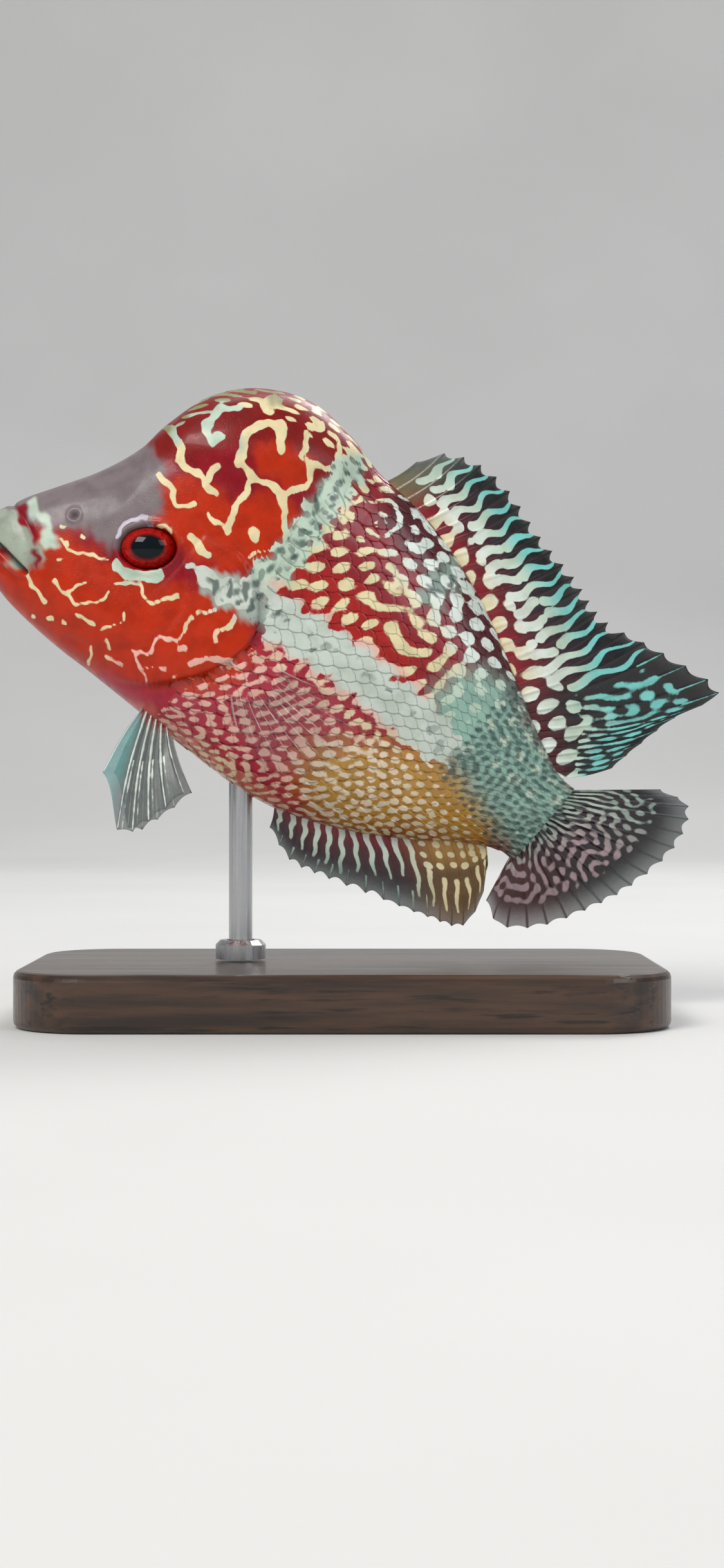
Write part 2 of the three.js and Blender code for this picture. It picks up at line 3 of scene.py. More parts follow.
import bpy
import numpy as np
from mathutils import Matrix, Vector


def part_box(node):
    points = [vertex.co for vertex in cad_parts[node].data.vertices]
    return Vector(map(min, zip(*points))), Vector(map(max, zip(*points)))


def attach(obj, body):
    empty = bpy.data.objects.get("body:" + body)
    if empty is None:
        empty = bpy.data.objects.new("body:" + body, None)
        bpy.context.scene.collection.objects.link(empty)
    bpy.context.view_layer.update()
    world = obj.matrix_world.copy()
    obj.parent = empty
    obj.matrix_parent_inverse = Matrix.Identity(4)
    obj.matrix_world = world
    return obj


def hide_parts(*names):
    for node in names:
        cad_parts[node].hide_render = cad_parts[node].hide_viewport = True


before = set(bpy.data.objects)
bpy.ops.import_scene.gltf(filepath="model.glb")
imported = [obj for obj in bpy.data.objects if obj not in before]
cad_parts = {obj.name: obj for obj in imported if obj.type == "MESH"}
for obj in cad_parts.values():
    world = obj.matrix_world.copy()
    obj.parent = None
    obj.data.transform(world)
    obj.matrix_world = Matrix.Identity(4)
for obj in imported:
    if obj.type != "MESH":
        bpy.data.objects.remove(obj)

# The model is drawn in the fish's own frame, in millimetres: x from snout to tail, z towards the back.
# The left side, at negative y, faces the camera.

MM = 0.001
PITCH = math.radians(29.0)
SEED = 11
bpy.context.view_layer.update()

# Body sections from snout to tail root: x and z of the back, x and z of the belly, half width, widest level,
# and fullness above and below it
SECTIONS = np.array([
    [-1.3, 5.6, -0.9, 0.6, 2.2, 0.5, 2.2, 2.2],
    [0.6, 9.0, 1.6, -1.6, 3.9, 0.46, 2.4, 2.2],
    [3.6, 12.4, 5.0, -3.3, 5.2, 0.42, 2.6, 2.2],
    [7.6, 17.0, 10.0, -4.7, 6.3, 0.37, 2.8, 2.2],
    [10.6, 21.8, 14.5, -5.6, 7.1, 0.33, 3.2, 2.2],
    [12.2, 26.4, 18.0, -6.1, 7.7, 0.3, 3.8, 2.2],
    [15.2, 32.0, 21.5, -6.7, 8.4, 0.27, 4.4, 2.2],
    [20.2, 35.9, 25.5, -7.4, 8.9, 0.27, 4.6, 2.2],
    [26.6, 37.5, 30.0, -8.2, 9.2, 0.29, 4.2, 2.2],
    [33.0, 36.2, 35.5, -9.0, 9.2, 0.33, 3.2, 2.2],
    [38.6, 33.8, 41.0, -9.8, 8.8, 0.38, 2.3, 2.2],
    [45.0, 32.2, 46.5, -10.0, 8.2, 0.41, 1.9, 2.0],
    [52.0, 29.3, 52.5, -9.1, 7.3, 0.42, 1.8, 1.8],
    [59.0, 25.1, 58.5, -7.5, 6.1, 0.44, 1.8, 1.8],
    [66.0, 19.8, 65.0, -4.9, 4.9, 0.46, 1.8, 1.8],
    [72.0, 15.0, 70.5, -2.2, 3.6, 0.48, 1.9, 1.9],
    [77.0, 11.6, 75.0, -0.8, 2.4, 0.5, 2.0, 2.0],
    [80.0, 10.8, 77.6, -0.9, 1.4, 0.5, 2.2, 2.2],
])
SNOUT_TIP = (-2.1, 3.1)
LAST = len(SECTIONS) - 1
BEND_START = 44.0
BEND_LENGTH = 51.0
BEND_OFFSET = 6.5
HUMP_FOOT = [(8.5, 23.2), (13, 22.4), (19, 22.6), (25, 24.2), (31, 27.6), (36, 31.6), (41, 36.5)]
HUMP_SWELL = 0.85

EYE_AT = (18.4, 10.9)
EYE_HALF = (3.6, 2.75)
SOCKET_DEPTH = 2.4
NOSTRIL_AT = (8.1, 10.1)
MOUTH_LINE = [(-5, 3.0), (-2.1, 2.9), (0.5, 2.5), (3.5, 1.7), (6.3, 0.9)]
UPPER_LIP_EDGE = [(-5, 8.2), (-1.5, 7.9), (1.0, 7.3), (3.5, 6.1), (5.6, 4.4), (7.2, 1.6)]
LOWER_LIP_EDGE = [(-5, 0.4), (-0.9, 0.5), (2.0, 0.2), (4.8, -0.3), (7.0, -0.2)]
LIP_REAR = 7.2
LIP_SWELL = (0.46, 0.42)
GILL_COVER = [
    (24.0, 15.4), (28.2, 15.7), (31.8, 13.8), (34.3, 10.6), (35.2, 7.4),
    (34.5, 4.2), (32.3, 0.8), (29.2, -2.0), (25.8, -4.2), (22.0, -5.2),
    (18.8, -3.6), (18.6, -0.6), (20.4, 3.0), (22.2, 7.4), (23.2, 11.4),
]
COVER_STEP = 0.6
CHEEK_FOLD = [(22.6, 12.6), (24.8, 9.0), (25.6, 4.4), (23.8, 0.0), (20.0, -2.8), (14.5, -3.9)]
# Where the head's bare skin ends, as z and x
HEAD_REAR = [(-12, 27.0), (-3, 29.5), (2, 33.5), (7, 36.0), (14, 33.5), (20, 33.6), (28, 35.6), (36, 38.6)]

# The skin's mesh: places down each side, section rings and rings over the snout
SIDE_STEPS = 112
SKIN_RINGS = np.concatenate([np.linspace(0, 10, 230), np.linspace(10, LAST, 92)[1:]])
CAP_RINGS = 24

# Scales, whose plates are drawn one unit long: rows, first column, overlap, width, how far they lift, how far
# their roots sink and how much of their ground colour is their own place's
SCALE_ROWS_PER_SIDE = 25
FIRST_COLUMN = 8.2
SCALE_OVERLAP = 2.05
SCALE_WIDTH = 1.04
SCALE_LIFT = 0.13
SCALE_BACK = -0.03
SCALE_SHARE_OWN = 0.5
PLATE_STATIONS = [-0.5, -0.3, -0.1, 0.1, 0.25, 0.37, 0.45, 0.5]
PLATE_ACROSS = 7
PLATE_TOP = len(PLATE_STATIONS) * PLATE_ACROSS
UNDERSIDE_SHARE = 0.94
BAKE_PATCH = 0.003

# Fins: spines and rays, length of a ray, sweep out of the body's middle, bow to the rear, sideways ripple,
# mesh steps per ray and along it, and the base and outer edge with the ray at each of their points
DORSAL = {
    "spines": 16, "rays": 28, "length": 13.0, "out": (0, 0), "bow": 0.04, "ripple": 0.35, "steps": (10, 56),
    "base": [
        (39.8, 33.2), (46.0, 31.8), (52.0, 29.3), (59.0, 25.1), (66.0, 19.8), (70.0, 16.6), (74.0, 13.6),
        (77.9, 11.2),
    ],
    "base_at": [0, 3.5, 7, 11, 15, 19, 23, 27],
    "edge": [
        (42.0, 37.4), (44.6, 40.1), (49.4, 41.0), (54.2, 39.9), (60.5, 36.8), (66.7, 34.4), (73.4, 31.6),
        (81.6, 31.7), (90.6, 31.0), (87.0, 25.2), (84.3, 19.0), (83.0, 15.6),
    ],
    "edge_at": [0, 1, 3, 5, 8, 11, 15, 18, 21, 23, 25.5, 27],
}
ANAL = {
    "spines": 8, "rays": 18, "length": 8.0, "out": (0.0, 0.0), "bow": -0.05, "ripple": 0.3, "steps": (10, 40),
    "base": [(47.4, -9.7), (52.5, -9.1), (58.5, -7.5), (65.0, -4.9), (69.5, -2.6), (73.6, -1.0)],
    "base_at": [0, 3, 7, 11, 14, 17],
    "edge": [
        (48.2, -12.4), (52.4, -14.8), (58.0, -14.5), (65.4, -13.5), (71.4, -12.7), (76.0, -11.5),
        (76.4, -7.4), (75.0, -3.6),
    ],
    "edge_at": [0, 2, 5, 8, 11, 14, 15.6, 17],
}
CAUDAL = {
    "spines": 0, "rays": 18, "length": 15.0, "out": (0.0, 0.0), "bow": 0.0, "ripple": 0.3, "steps": (10, 60),
    "base": [(79.2, 10.2), (78.6, 7.2), (77.8, 3.6), (76.9, -0.2)],
    "base_at": [0, 5, 11, 17],
    "edge": [
        (90.0, 16.3), (94.4, 16.2), (95.4, 10.6), (92.9, 3.6), (89.0, -2.2), (84.6, -7.0), (80.0, -9.2),
        (77.0, -7.2),
    ],
    "edge_at": [0, 2, 5, 8, 11, 13.5, 15.5, 17],
}
PECTORAL = {
    "spines": 0, "rays": 13, "length": 14.0, "out": (7.2, 12), "bow": 0.03, "ripple": 0.25, "steps": (10, 48),
    "base": [(35.6, 5.8), (35.9, 3.8), (35.0, 1.6)],
    "base_at": [0, 6, 12],
    "edge": [(48.0, 6.2), (51.8, 3.6), (52.2, -0.4), (49.4, -4.4), (44.6, -5.8), (39.6, -3.8)],
    "edge_at": [0, 2, 5, 8, 10, 12],
}
PELVIC = {
    "spines": 1, "rays": 6, "length": 12.0, "out": (3.0, 6.6), "bow": 0.03, "ripple": 0.25, "steps": (16, 48),
    "base": [(26.9, -7.0), (28.8, -7.4), (30.8, -7.6)],
    "base_at": [0, 2.5, 5],
    "edge": [(26.9, -16.2), (31.9, -21.6), (34.8, -18.8), (37.0, -13.6)],
    "edge_at": [0, 1, 3, 5],
}
# How deep the fins are rooted, as a share of their length, and the half thickness of membrane and rays
FIN_ROOT = 0.12
MEMBRANE = 0.1
RAY_RIDGE = 0.24
RAY_HALF_WIDTH = 0.17

PALETTE = {
    "crimson": "#900a1c", "scarlet": "#ac170f", "orange red": "#bd2b00", "deep red": "#840d09",
    "rose": "#b0233b", "maroon": "#520916", "russet": "#4a1710", "purple": "#2a111f",
    "belly": "#cf6a5c", "pink": "#ecb5a6", "grey pink": "#a58d92", "mauve": "#7d7173",
    "amber": "#b8662a", "gold": "#c08f3c", "umber": "#6b4c1e", "olive": "#8e8c62",
    "cream": "#ecdcae", "pearl": "#f3dcbf", "white": "#e3ebe2", "lilac": "#cdc3d2",
    "mint": "#c3d6c3", "frost": "#ced6cb", "mist": "#a6b1a6", "moss": "#8b9f91",
    "lip": "#a3ad9c", "teal": "#93b8a8", "turquoise": "#79cfc9", "slate": "#5b7871",
    "smoke": "#56605f", "dark teal": "#1f3b3a", "black": "#0b0a0e",
}

# The pale bands behind the head: along the flank, and down from the nape
BAND = [(28, 10.8), (36, 11), (46, 10.4), (55, 9), (62, 7.4)]
NAPE = [(35.5, 32), (34.6, 25), (34.0, 18), (32.5, 14)]

# Soft areas of the ground colour, laid on in this order: colour, path, radius and softness
GROUND_AREAS = [
    ("rose", [(26, -3), (36, 0), (48, -2)], 8.0, 5.0),
    ("belly", [(27, -8.5), (36, -9.5), (47, -10.5)], 2.2, 2.5),
    ("maroon", [(45, 31), (55, 27), (66, 19)], 4.0, 4.0),
    ("orange red", [(9, 1), (16, 0.5), (24, 2), (30, 4)], 6.6, 2.5),
    ("orange red", [(20, 17), (27, 17), (30, 20)], 4.4, 2.5),
    ("deep red", [(14, 26), (18, 30), (25, 33), (33, 32)], 4.8, 3.5),
    ("orange red", [(26.5, 28), (29.5, 28)], 2.4, 1.6),
    ("mauve", [(0, 9.2), (5, 11.6), (9.5, 13.5), (11, 18)], 4.2, 1.6),
    ("mauve", [(13.5, 11), (15, 15), (13, 19)], 2.6, 1.8),
    ("lip", [(-3, 4.2), (2, 4.4), (5, 3.0)], 2.3, 1.0),
    ("mint", [(2.2, 8.7), (5.5, 7.4), (7.3, 5.2)], 0.7, 0.9),
    ("crimson", [(1.2, 7.5), (3.0, 6.6), (5.3, 5.4)], 0.5, 0.7),
    ("crimson", [(5.4, 4.1), (7.0, 2.2)], 0.35, 0.6),
    ("scarlet", [(36, 17), (42, 16), (52, 13.5)], 3.4, 4.0),
    ("moss", NAPE, 1.5, 1.6),
    ("moss", [(52, 23), (52.5, 27)], 1.6, 1.6),
    ("amber", [(51, -3), (56, -1)], 4.5, 5.0),
    ("gold", [(55, -3), (61, 0), (69, 2)], 5.2, 4.5),
    ("teal", [(64, 12.5), (71, 9), (80, 4.5)], 5.8, 5.0),
    ("mist", BAND, 2.0, 0.7),
]
# The colour of the marks, laid on in the same way over cream
MARK_AREAS = [
    ("pink", [(28, -3), (38, 0), (50, -3)], 7.0, 5.0),
    ("pearl", [(53, -3), (60, 0), (68, 1)], 5.5, 4.0),
    ("white", [(46, 30), (56, 25), (66, 19)], 5.0, 4.0),
    ("mint", [(14, 26), (18, 30), (20, 27)], 2.5, 1.5),
    ("olive", [(12.4, 24.6), (14.5, 29.5), (19, 34.5), (24, 36)], 1.2, 1.6),
    ("mint", NAPE, 2.3, 1.2),
    ("mint", [(64, 12), (72, 8), (80, 5)], 6.0, 4.0),
    ("pink", [(36, 11), (46, 10.4), (55, 9)], 3.9, 1.4),
    ("frost", [(26, 10.8)] + BAND, 2.9, 1.2),
    ("mint", [(16.2, 6.6), (19, 7.0), (22, 8.6)], 1.2, 0.4),
    ("lilac", [(14.0, 9.4), (14.4, 12.4), (17.0, 14.4)], 0.9, 0.5),
]
# A ring kept clear of worms, and a dark flecked patch under the dorsal fin
RING_AT = (42.2, 28.4)
SADDLE_AT = (52, 25)
LINE_WEIGHT = 0.9
THINNEST_LINE = 0.21
# Pale lines: half width and path
PALE_LINES = [
    (0.24, [(9.8, 1.6), (11, 1.3), (12.2, 1), (13.5, 0.4), (14.8, 1.3), (16.2, 2), (16.8, 3.8)]),
    (0.72, [(16.0, 7.1), (17.6, 6.9), (19.4, 7.3), (21.6, 8.6)]),
    (0.3, [(14.3, 10.2), (14.5, 12.0), (15.6, 13.5), (16.6, 14.1)]),
    (1.3, [(26.2, 11.2), (28.2, 11.0)]),
    (1.7, [(29.4, 10.9), (31.6, 10.9)]),
    (0.3, [(29.4, 8.4), (28.8, 7.4), (28.0, 6.8)]),
    (0.22, [(11.8, 1.2), (12.8, 2.2), (13.6, 3.2)]),
    (0.26, [(17.2, 5.2), (18.5, 5.9), (20, 6.3), (21, 5.4), (22.5, 5), (23.5, 6.3), (24.8, 7.6)]),
    (0.14, [(14.5, -0.4), (15.8, -0.8), (17, -0.7)]),
    (0.18, [(18, -0.6), (19.6, 0.5), (20, 1.5), (19.7, 2.5)]),
    (0.24, [
        (27.5, 6), (27.2, 5.4), (27.7, 4), (27.2, 2.8), (25.5, 2), (24.9, 1), (25, 0), (24.4, -0.8), (23, -1.4),
    ]),
    (0.18, [(23.4, -1.5), (24.8, -2.4), (26.2, -3.7)]),
    (0.15, [(25.3, -2.3), (26.5, -1.6), (27.6, -1.2)]),
    (0.42, [(27.9, 1.8), (28.6, 2.1)]),
    (0.2, [(17.8, -3.5), (18.4, -5.3)]),
    (0.15, [(19.2, -1.8), (20.2, -2.4)]),
    (0.22, [(20.2, -3.2), (22.6, -3.6)]),
    (0.32, [(6.4, 0.9), (8, -0.4), (10, -1)]),
    (0.42, [(30, 1), (31.5, 2.3), (33, 2.9), (35, 4)]),
    (0.36, [(32.3, 8.4), (31.8, 6.8), (31.2, 5.8), (31.5, 4.8)]),
    (0.22, [(8, 6.5), (9.6, 6.1), (11.5, 6.2), (13, 6.8), (14.6, 7.3)]),
    (0.26, [(17, 13.4), (18.4, 14.0), (20, 14.0)]),
    (0.6, [(22.5, 14.5), (23.8, 14.0), (25.5, 13.6)]),
    (0.42, [(23.8, 11.4), (24.6, 11.6)]),
    (0.42, [(15, 19.4), (16.8, 19), (18, 18), (19.2, 17.3), (20.8, 18.2)]),
    (0.62, [(12.5, 25.5), (14.2, 25), (15.5, 24), (16.5, 22.3)]),
    (0.46, [(16.5, 22.3), (18.2, 21.8), (20, 21.8), (21.5, 20.8), (22.5, 20.7)]),
    (0.5, [(20.8, 22), (21, 23.8)]),
    (0.66, [(19.3, 31.5), (17.8, 30.5), (17.3, 28.8), (17.8, 27), (19, 26.3), (19.5, 27.3)]),
    (0.66, [(25, 32), (23.2, 31), (22.3, 29.5), (22.6, 27.5), (23.6, 25.5)]),
    (0.5, [
        (23.6, 25.5), (25.5, 24.7), (27.5, 25), (29, 24.9), (30.5, 25.5), (31.7, 27), (31.8, 28.5), (31, 29.8),
    ]),
    (0.62, [(25.3, 32.5), (26.2, 31), (27, 29.5)]),
    (0.46, [(25.5, 24.5), (25.7, 22), (25.5, 19.5), (26.3, 17.6)]),
    (0.42, [(26, 17.7), (24.2, 17.6), (23, 18.2)]),
    (0.46, [(29.5, 24.8), (31, 23), (32.4, 21), (32.8, 20)]),
    (0.85, [(28.9, 18.8), (29.2, 18.7)]),
    (0.2, [(30.2, 15.8), (30.6, 17), (31.8, 17.6)]),
    (0.4, [(28.7, 33), (29.5, 31), (29.9, 29.8), (33, 30.5), (34.5, 31.3), (33.5, 32.5), (32.5, 34)]),
    (0.7, [(29, 34.3), (29.6, 34.6)]),
    (0.7, [(34.8, 34.2), (35.2, 34)]),
    (0.8, [(22, 34), (23.4, 34.9)]),
    (0.3, [(36, 31), (37, 28), (38.3, 25)]),
    (0.22, [(13.2, 28.6), (14.6, 30.6), (17, 33), (20, 35)]),
    (0.34, [(39.9, 29.8), (41, 30.8), (42.6, 30.7), (43.9, 29.4), (44, 27.6), (42.8, 26.3), (41.2, 26.4)]),
    (0.3, [(42.8, 28.4), (42.1, 29.0), (41.4, 28.4), (41.6, 27.4)]),
    (0.36, [(54, 26.5), (57.4, 25.6), (61, 24)]),
    (0.75, [(59.2, 27.8), (59.9, 27.6)]),
    (0.9, [(62.6, 24.9), (63.0, 24.7)]),
]
PALE_DOTS = [
    (9.3, -3.4), (11.5, -2.8), (13.2, -2.2), (9.2, 4.4), (8.9, 6.4), (10.2, 8.2), (7.5, 8.2), (28.8, -1.3),
    (31, -0.8),
]
DARK_LINES = [
    (0.32, [(29.4, 12.2), (30.2, 10.6)]),
    (0.42, [(31.6, 12.8), (32.2, 11.0)]),
    (0.3, [(33.0, 11.2), (33.4, 10.6)]),
    (0.35, [(28.0, 11.4), (28.6, 9.8)]),
    (0.28, [(34.0, 22.6), (34.8, 21.2)]),
    (0.34, [(33.4, 26.6), (34.4, 25.4)]),
    (0.28, [(35.4, 28.4), (35.9, 26.8)]),
    (0.3, [(34.6, 18.8), (35.3, 17.6)]),
    (0.26, [(36.0, 23.8), (36.4, 22.6)]),
    (0.2, [(42.0, 9.0), (42.5, 10.0)]),
    (0.18, [(52.5, 10.0), (53.5, 10.0)]),
    (0.3, [(51.2, 24.2), (52.4, 23.2)]),
    (0.34, [(52.8, 26.8), (53.4, 25.4)]),
]
# Half width of the dark line along the mouth: painted shade in the crease where the lips meet
MOUTH_SHADE_HALF_WIDTH = 0.2

# Worm-like patterns: the corner, cell, rows and columns of their fields, and how many rounds they grow
FIELD_LOW = (-6.0, -20.0)
FIELD_CELL = 0.15
FIELD_SHAPE = (480, 640)
FIELD_ROUNDS = 9
# Each kind's spacing in millimetres, lie in degrees, stretch, break-up into dots and fullness of pale
WORM_KINDS = {
    "upper": (1.7, 62, 2.3, 0.44, 0.1),
    "back": (2.45, 60, 1.3, 0.4, 0.33),
    "lower": (1.25, 52, 1.9, 0.44, 0.18),
    "gold": (1.3, 40, 1.25, 0.58, 0.36),
    "stalk": (0.95, 42, 1.5, 0.42, 0.14),
    "crest": (1.9, 15, 1.5, 0.3, 0.0),
    "nape": (1.6, 78, 1.6, -0.3, 0.42),
    "ray": (0.9, 0, 1.8, 0.12, -0.12),
    "soft": (0.85, 0, 3.4, 0.34, 0.05),
}

# Nothing is marked where a distance to the marks is this large, and a mark's edge is this soft
NO_MARK = 5.0
MARK_EDGE = 0.07

FLESH_NODES = (
    "head", "lower_jaw", "nuchal_hump", "torso", "tail_stalk", "gill_cover_left", "gill_cover_right",
)

# The camera looks level at the fish from its left, with the snout where the photo has it
PHOTO_SIZE = (1125, 2436)
PIXELS_PER_MM = 12.2
SNOUT_PIXEL = (-22, 868)
CAMERA_DISTANCE = 300.0
SENSOR = 36.0


def smooth(low, high, value):
    share = np.clip((value - low) / (high - low), 0.0, 1.0)
    return share * share * (3.0 - 2.0 * share)


def curve_through(rows, at, parameter):
    """A smooth curve through rows of numbers, each at its own parameter."""
    rows = np.asarray(rows, float)
    at = np.asarray(at, float)
    parameter = np.asarray(parameter, float)
    i = np.clip(np.searchsorted(at, parameter, side="left") - 1, 0, len(at) - 2)
    low = np.maximum(np.arange(len(at)) - 1, 0)
    high = np.minimum(np.arange(len(at)) + 1, len(at) - 1)
    slope = (rows[high] - rows[low]) / (at[high] - at[low])[:, None]
    step = (at[i + 1] - at[i])[..., None]
    s = ((parameter - at[i]) / (at[i + 1] - at[i]))[..., None]
    return (
        (2 * s**3 - 3 * s**2 + 1) * rows[i]
        + (s**3 - 2 * s**2 + s) * step * slope[i]
        + (3 * s**2 - 2 * s**3) * rows[i + 1]
        + (s**3 - s**2) * step * slope[i + 1]
    )


def rounded(path, per_span=5):
    """The path's points with smooth turns between them."""
    count = len(path)
    if count < 3:
        return np.array(path, float)
    return curve_through(path, range(count), np.linspace(0, count - 1, (count - 1) * per_span + 1))


def path_distance(x, z, path):
    """Distance from each place to a path, in the side view."""
    near = np.full(x.shape, 1e9)
    for (ax, az), (bx, bz) in zip(path[:-1], path[1:]):
        dx, dz = bx - ax, bz - az
        share = np.clip(((x - ax) * dx + (z - az) * dz) / (dx * dx + dz * dz + 1e-12), 0.0, 1.0)
        near = np.minimum(near, np.hypot(x - ax - share * dx, z - az - share * dz))
    return near


def height_on(path, x):
    """The path's second number at each first number, along straight lines."""
    across, up = np.array(path).T
    return np.interp(x, across, up)


def inside(x, z, outline):
    """Whether each place lies inside a closed outline, in the side view."""
    within = np.zeros(x.shape, bool)
    for (ax, az), (bx, bz) in zip(outline, np.roll(outline, -1, axis=0)):
        crosses = (az > z) != (bz > z)
        level = np.where(bz == az, 1e-12, bz - az)
        within ^= crosses & (x < (bx - ax) * (z - az) / level + ax)
    return within


def bend(x):
    return BEND_OFFSET * (np.maximum(x - BEND_START, 0.0) / BEND_LENGTH) ** 2


# The fish's frame is found from the left eye's node, whose centre is known in it.
eye_low, eye_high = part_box("eye_left")
eye_middle = (eye_low + eye_high) / 2 / MM
ORIGIN = (
    eye_middle.x - EYE_AT[0] * math.cos(PITCH) - EYE_AT[1] * math.sin(PITCH),
    eye_middle.z + EYE_AT[0] * math.sin(PITCH) - EYE_AT[1] * math.cos(PITCH),
)


def to_world(points):
    """Points of the fish's frame, in millimetres, placed in the row frame, in metres."""
    x, y, z = np.asarray(points, float).T
    return np.stack([
        ORIGIN[0] + x * math.cos(PITCH) + z * math.sin(PITCH),
        y + bend(x),
        ORIGIN[1] - x * math.sin(PITCH) + z * math.cos(PITCH),
    ], axis=1) * MM


def to_fish(points):
    """The reverse of to_world."""
    wx, wy, wz = np.asarray(points, float).T / MM
    dx, dz = wx - ORIGIN[0], wz - ORIGIN[1]
    x = dx * math.cos(PITCH) - dz * math.sin(PITCH)
    z = dx * math.sin(PITCH) + dz * math.cos(PITCH)
    return np.stack([x, wy - bend(x), z], axis=1)


def hump_swell(x, z):
    """How much wider the body is over the hump's foot line."""
    at = [p[0] for p in HUMP_FOOT]
    foot = curve_through(HUMP_FOOT, at, np.clip(x, at[0], at[-1]))[..., 1]
    return HUMP_SWELL * smooth(-1.0, 3.5, z - foot) * smooth(7.0, 12.0, x) * smooth(42.0, 37.0, x)


def section_at(t):
    """The measures of the body's section at a place along it, in the order of SECTIONS."""
    return np.moveaxis(curve_through(SECTIONS, range(LAST + 1), t), -1, 0)


def section_points(t, angle):
    """Places on the right side of the body's sections: +90 degrees is the back and -90 the belly."""
    back_x, back_z, belly_x, belly_z, half, widest, above, below = section_at(t)
    reach = np.sin(angle)
    level = np.where(reach >= 0, widest + (1 - widest) * reach, widest + widest * reach)
    fullness = np.where(reach >= 0, above, below)
    share = (1 - np.abs(reach) ** fullness).clip(0) ** (1 / np.minimum(fullness, 2))
    x = belly_x + (back_x - belly_x) * level
    z = belly_z + (back_z - belly_z) * level
    return np.stack([x, share * (half + hump_swell(x, z)), z], axis=-1)


def ring(t, shares):
    """Places round the right side of one section at shares of its girth from the back to the belly."""
    fine = np.linspace(math.pi / 2, -math.pi / 2, 241)
    points = section_points(np.full(fine.shape, min(t, LAST)), fine)
    along = np.concatenate([[0], np.cumsum(np.linalg.norm(np.diff(points, axis=0), axis=1))])
    return section_points(np.full(shares.shape, min(t, LAST)), np.interp(shares, along / along[-1], fine))


# Meshes and their attributes

def mesh_object(name, vertices, faces):
    mesh = bpy.data.meshes.new(name)
    mesh.from_pydata([tuple(v) for v in vertices], [], [tuple(int(i) for i in f) for f in faces])
    mesh.update()
    made = bpy.data.objects.new(name, mesh)
    bpy.context.scene.collection.objects.link(made)
    mesh.shade_smooth()
    return made


def set_floats(mesh, name, values):
    attribute = mesh.attributes.get(name) or mesh.attributes.new(name, "FLOAT", "POINT")
    attribute.data.foreach_set("value", np.asarray(values, np.float32).ravel())


def set_colours(mesh, name, values):
    attribute = mesh.attributes.get(name) or mesh.attributes.new(name, "FLOAT_COLOR", "POINT")
    rgba = np.concatenate([values, np.ones((len(values), 1))], axis=1)
    attribute.data.foreach_set("color", np.asarray(rgba, np.float32).ravel())


def set_uv(mesh, name, per_vertex):
    layer = mesh.uv_layers.get(name) or mesh.uv_layers.new(name=name)
    loops = np.empty(len(mesh.loops), np.int32)
    mesh.loops.foreach_get("vertex_index", loops)
    layer.data.foreach_set("uv", np.asarray(per_vertex, np.float32)[loops].ravel())


def vectors_of(items, name):
    """One vector for each of a mesh's vertices or faces."""
    vectors = np.empty(len(items) * 3, np.float32)
    items.foreach_get(name, vectors)
    return vectors.reshape(-1, 3).astype(float)


def grid_faces(index):
    """Quads between the neighbours in a grid of vertex numbers."""
    corners = [index[:-1, :-1], index[1:, :-1], index[1:, 1:], index[:-1, 1:]]
    return np.stack(corners, axis=-1).reshape(-1, 4)


def grid_rim(index):
    """The vertex numbers round a grid, once each."""
    return np.concatenate([index[:, 0], index[-1, 1:], index[-2::-1, -1], index[0, -2:0:-1]])


def rim_faces(rim, other):
    """Quads between two closed rows of vertex numbers."""
    return np.stack([np.roll(rim, -1), rim, other, np.roll(other, -1)], axis=-1)


def shell_faces(count, around):
    """Faces of a closed shell of rings, whose last two vertices are its ends."""
    index = np.arange(count * around).reshape(count, around)
    index = np.concatenate([index, index[:, :1]], axis=1)
    first_end, last_end = count * around, count * around + 1
    faces = grid_faces(index).tolist()
    for j in range(around):
        faces.append((first_end, index[0, j], index[0, j + 1]))
        faces.append((last_end, index[-1, j + 1], index[-1, j]))
    return faces


def colour(name):
    """A palette colour as linear red, green and blue."""
    srgb = np.array([int(PALETTE[name][i:i + 2], 16) / 255 for i in (1, 3, 5)])
    return np.where(srgb <= 0.04045, srgb / 12.92, ((srgb + 0.055) / 1.055) ** 2.4)


def laid_on(ground, areas, x, z):
    painted = np.tile(colour(ground), (len(x), 1))
    for name, path, radius, softness in areas:
        gap = path_distance(x, z, rounded(path)) - radius
        share = smooth(softness / 2, -softness / 2, gap)[:, None]
        painted = painted * (1 - share) + colour(name) * share
    return painted


def wobbled(x, z, size):
    """Places moved a little, so that what is drawn on them gets uneven edges."""
    across = x + size * (np.sin(1.9 * z + 0.7 * x) + 0.5 * np.sin(4.1 * z - 2.3 * x + 1.0))
    up = z + size * (np.sin(1.7 * x - 0.8 * z + 2.0) + 0.5 * np.sin(3.7 * x + 2.9 * z))
    return across, up


def nearest_line(x, z, lines):
    """Distance to the edge of the nearest line, whose width swells and shrinks along it."""
    near = np.full(x.shape, NO_MARK)
    x, z = wobbled(x, z, 0.16)
    for k, (half_width, path) in enumerate(lines):
        swell = 1.0 + 0.3 * np.sin(1.6 * x + 1.1 * z + k) * np.sin(1.2 * z - 0.9 * x + 2 * k)
        half = max(half_width, THINNEST_LINE) * LINE_WEIGHT * swell
        near = np.minimum(near, path_distance(x, z, rounded(path)) - half)
    return near


# Worm-like patterns, as they grow on a fish's skin

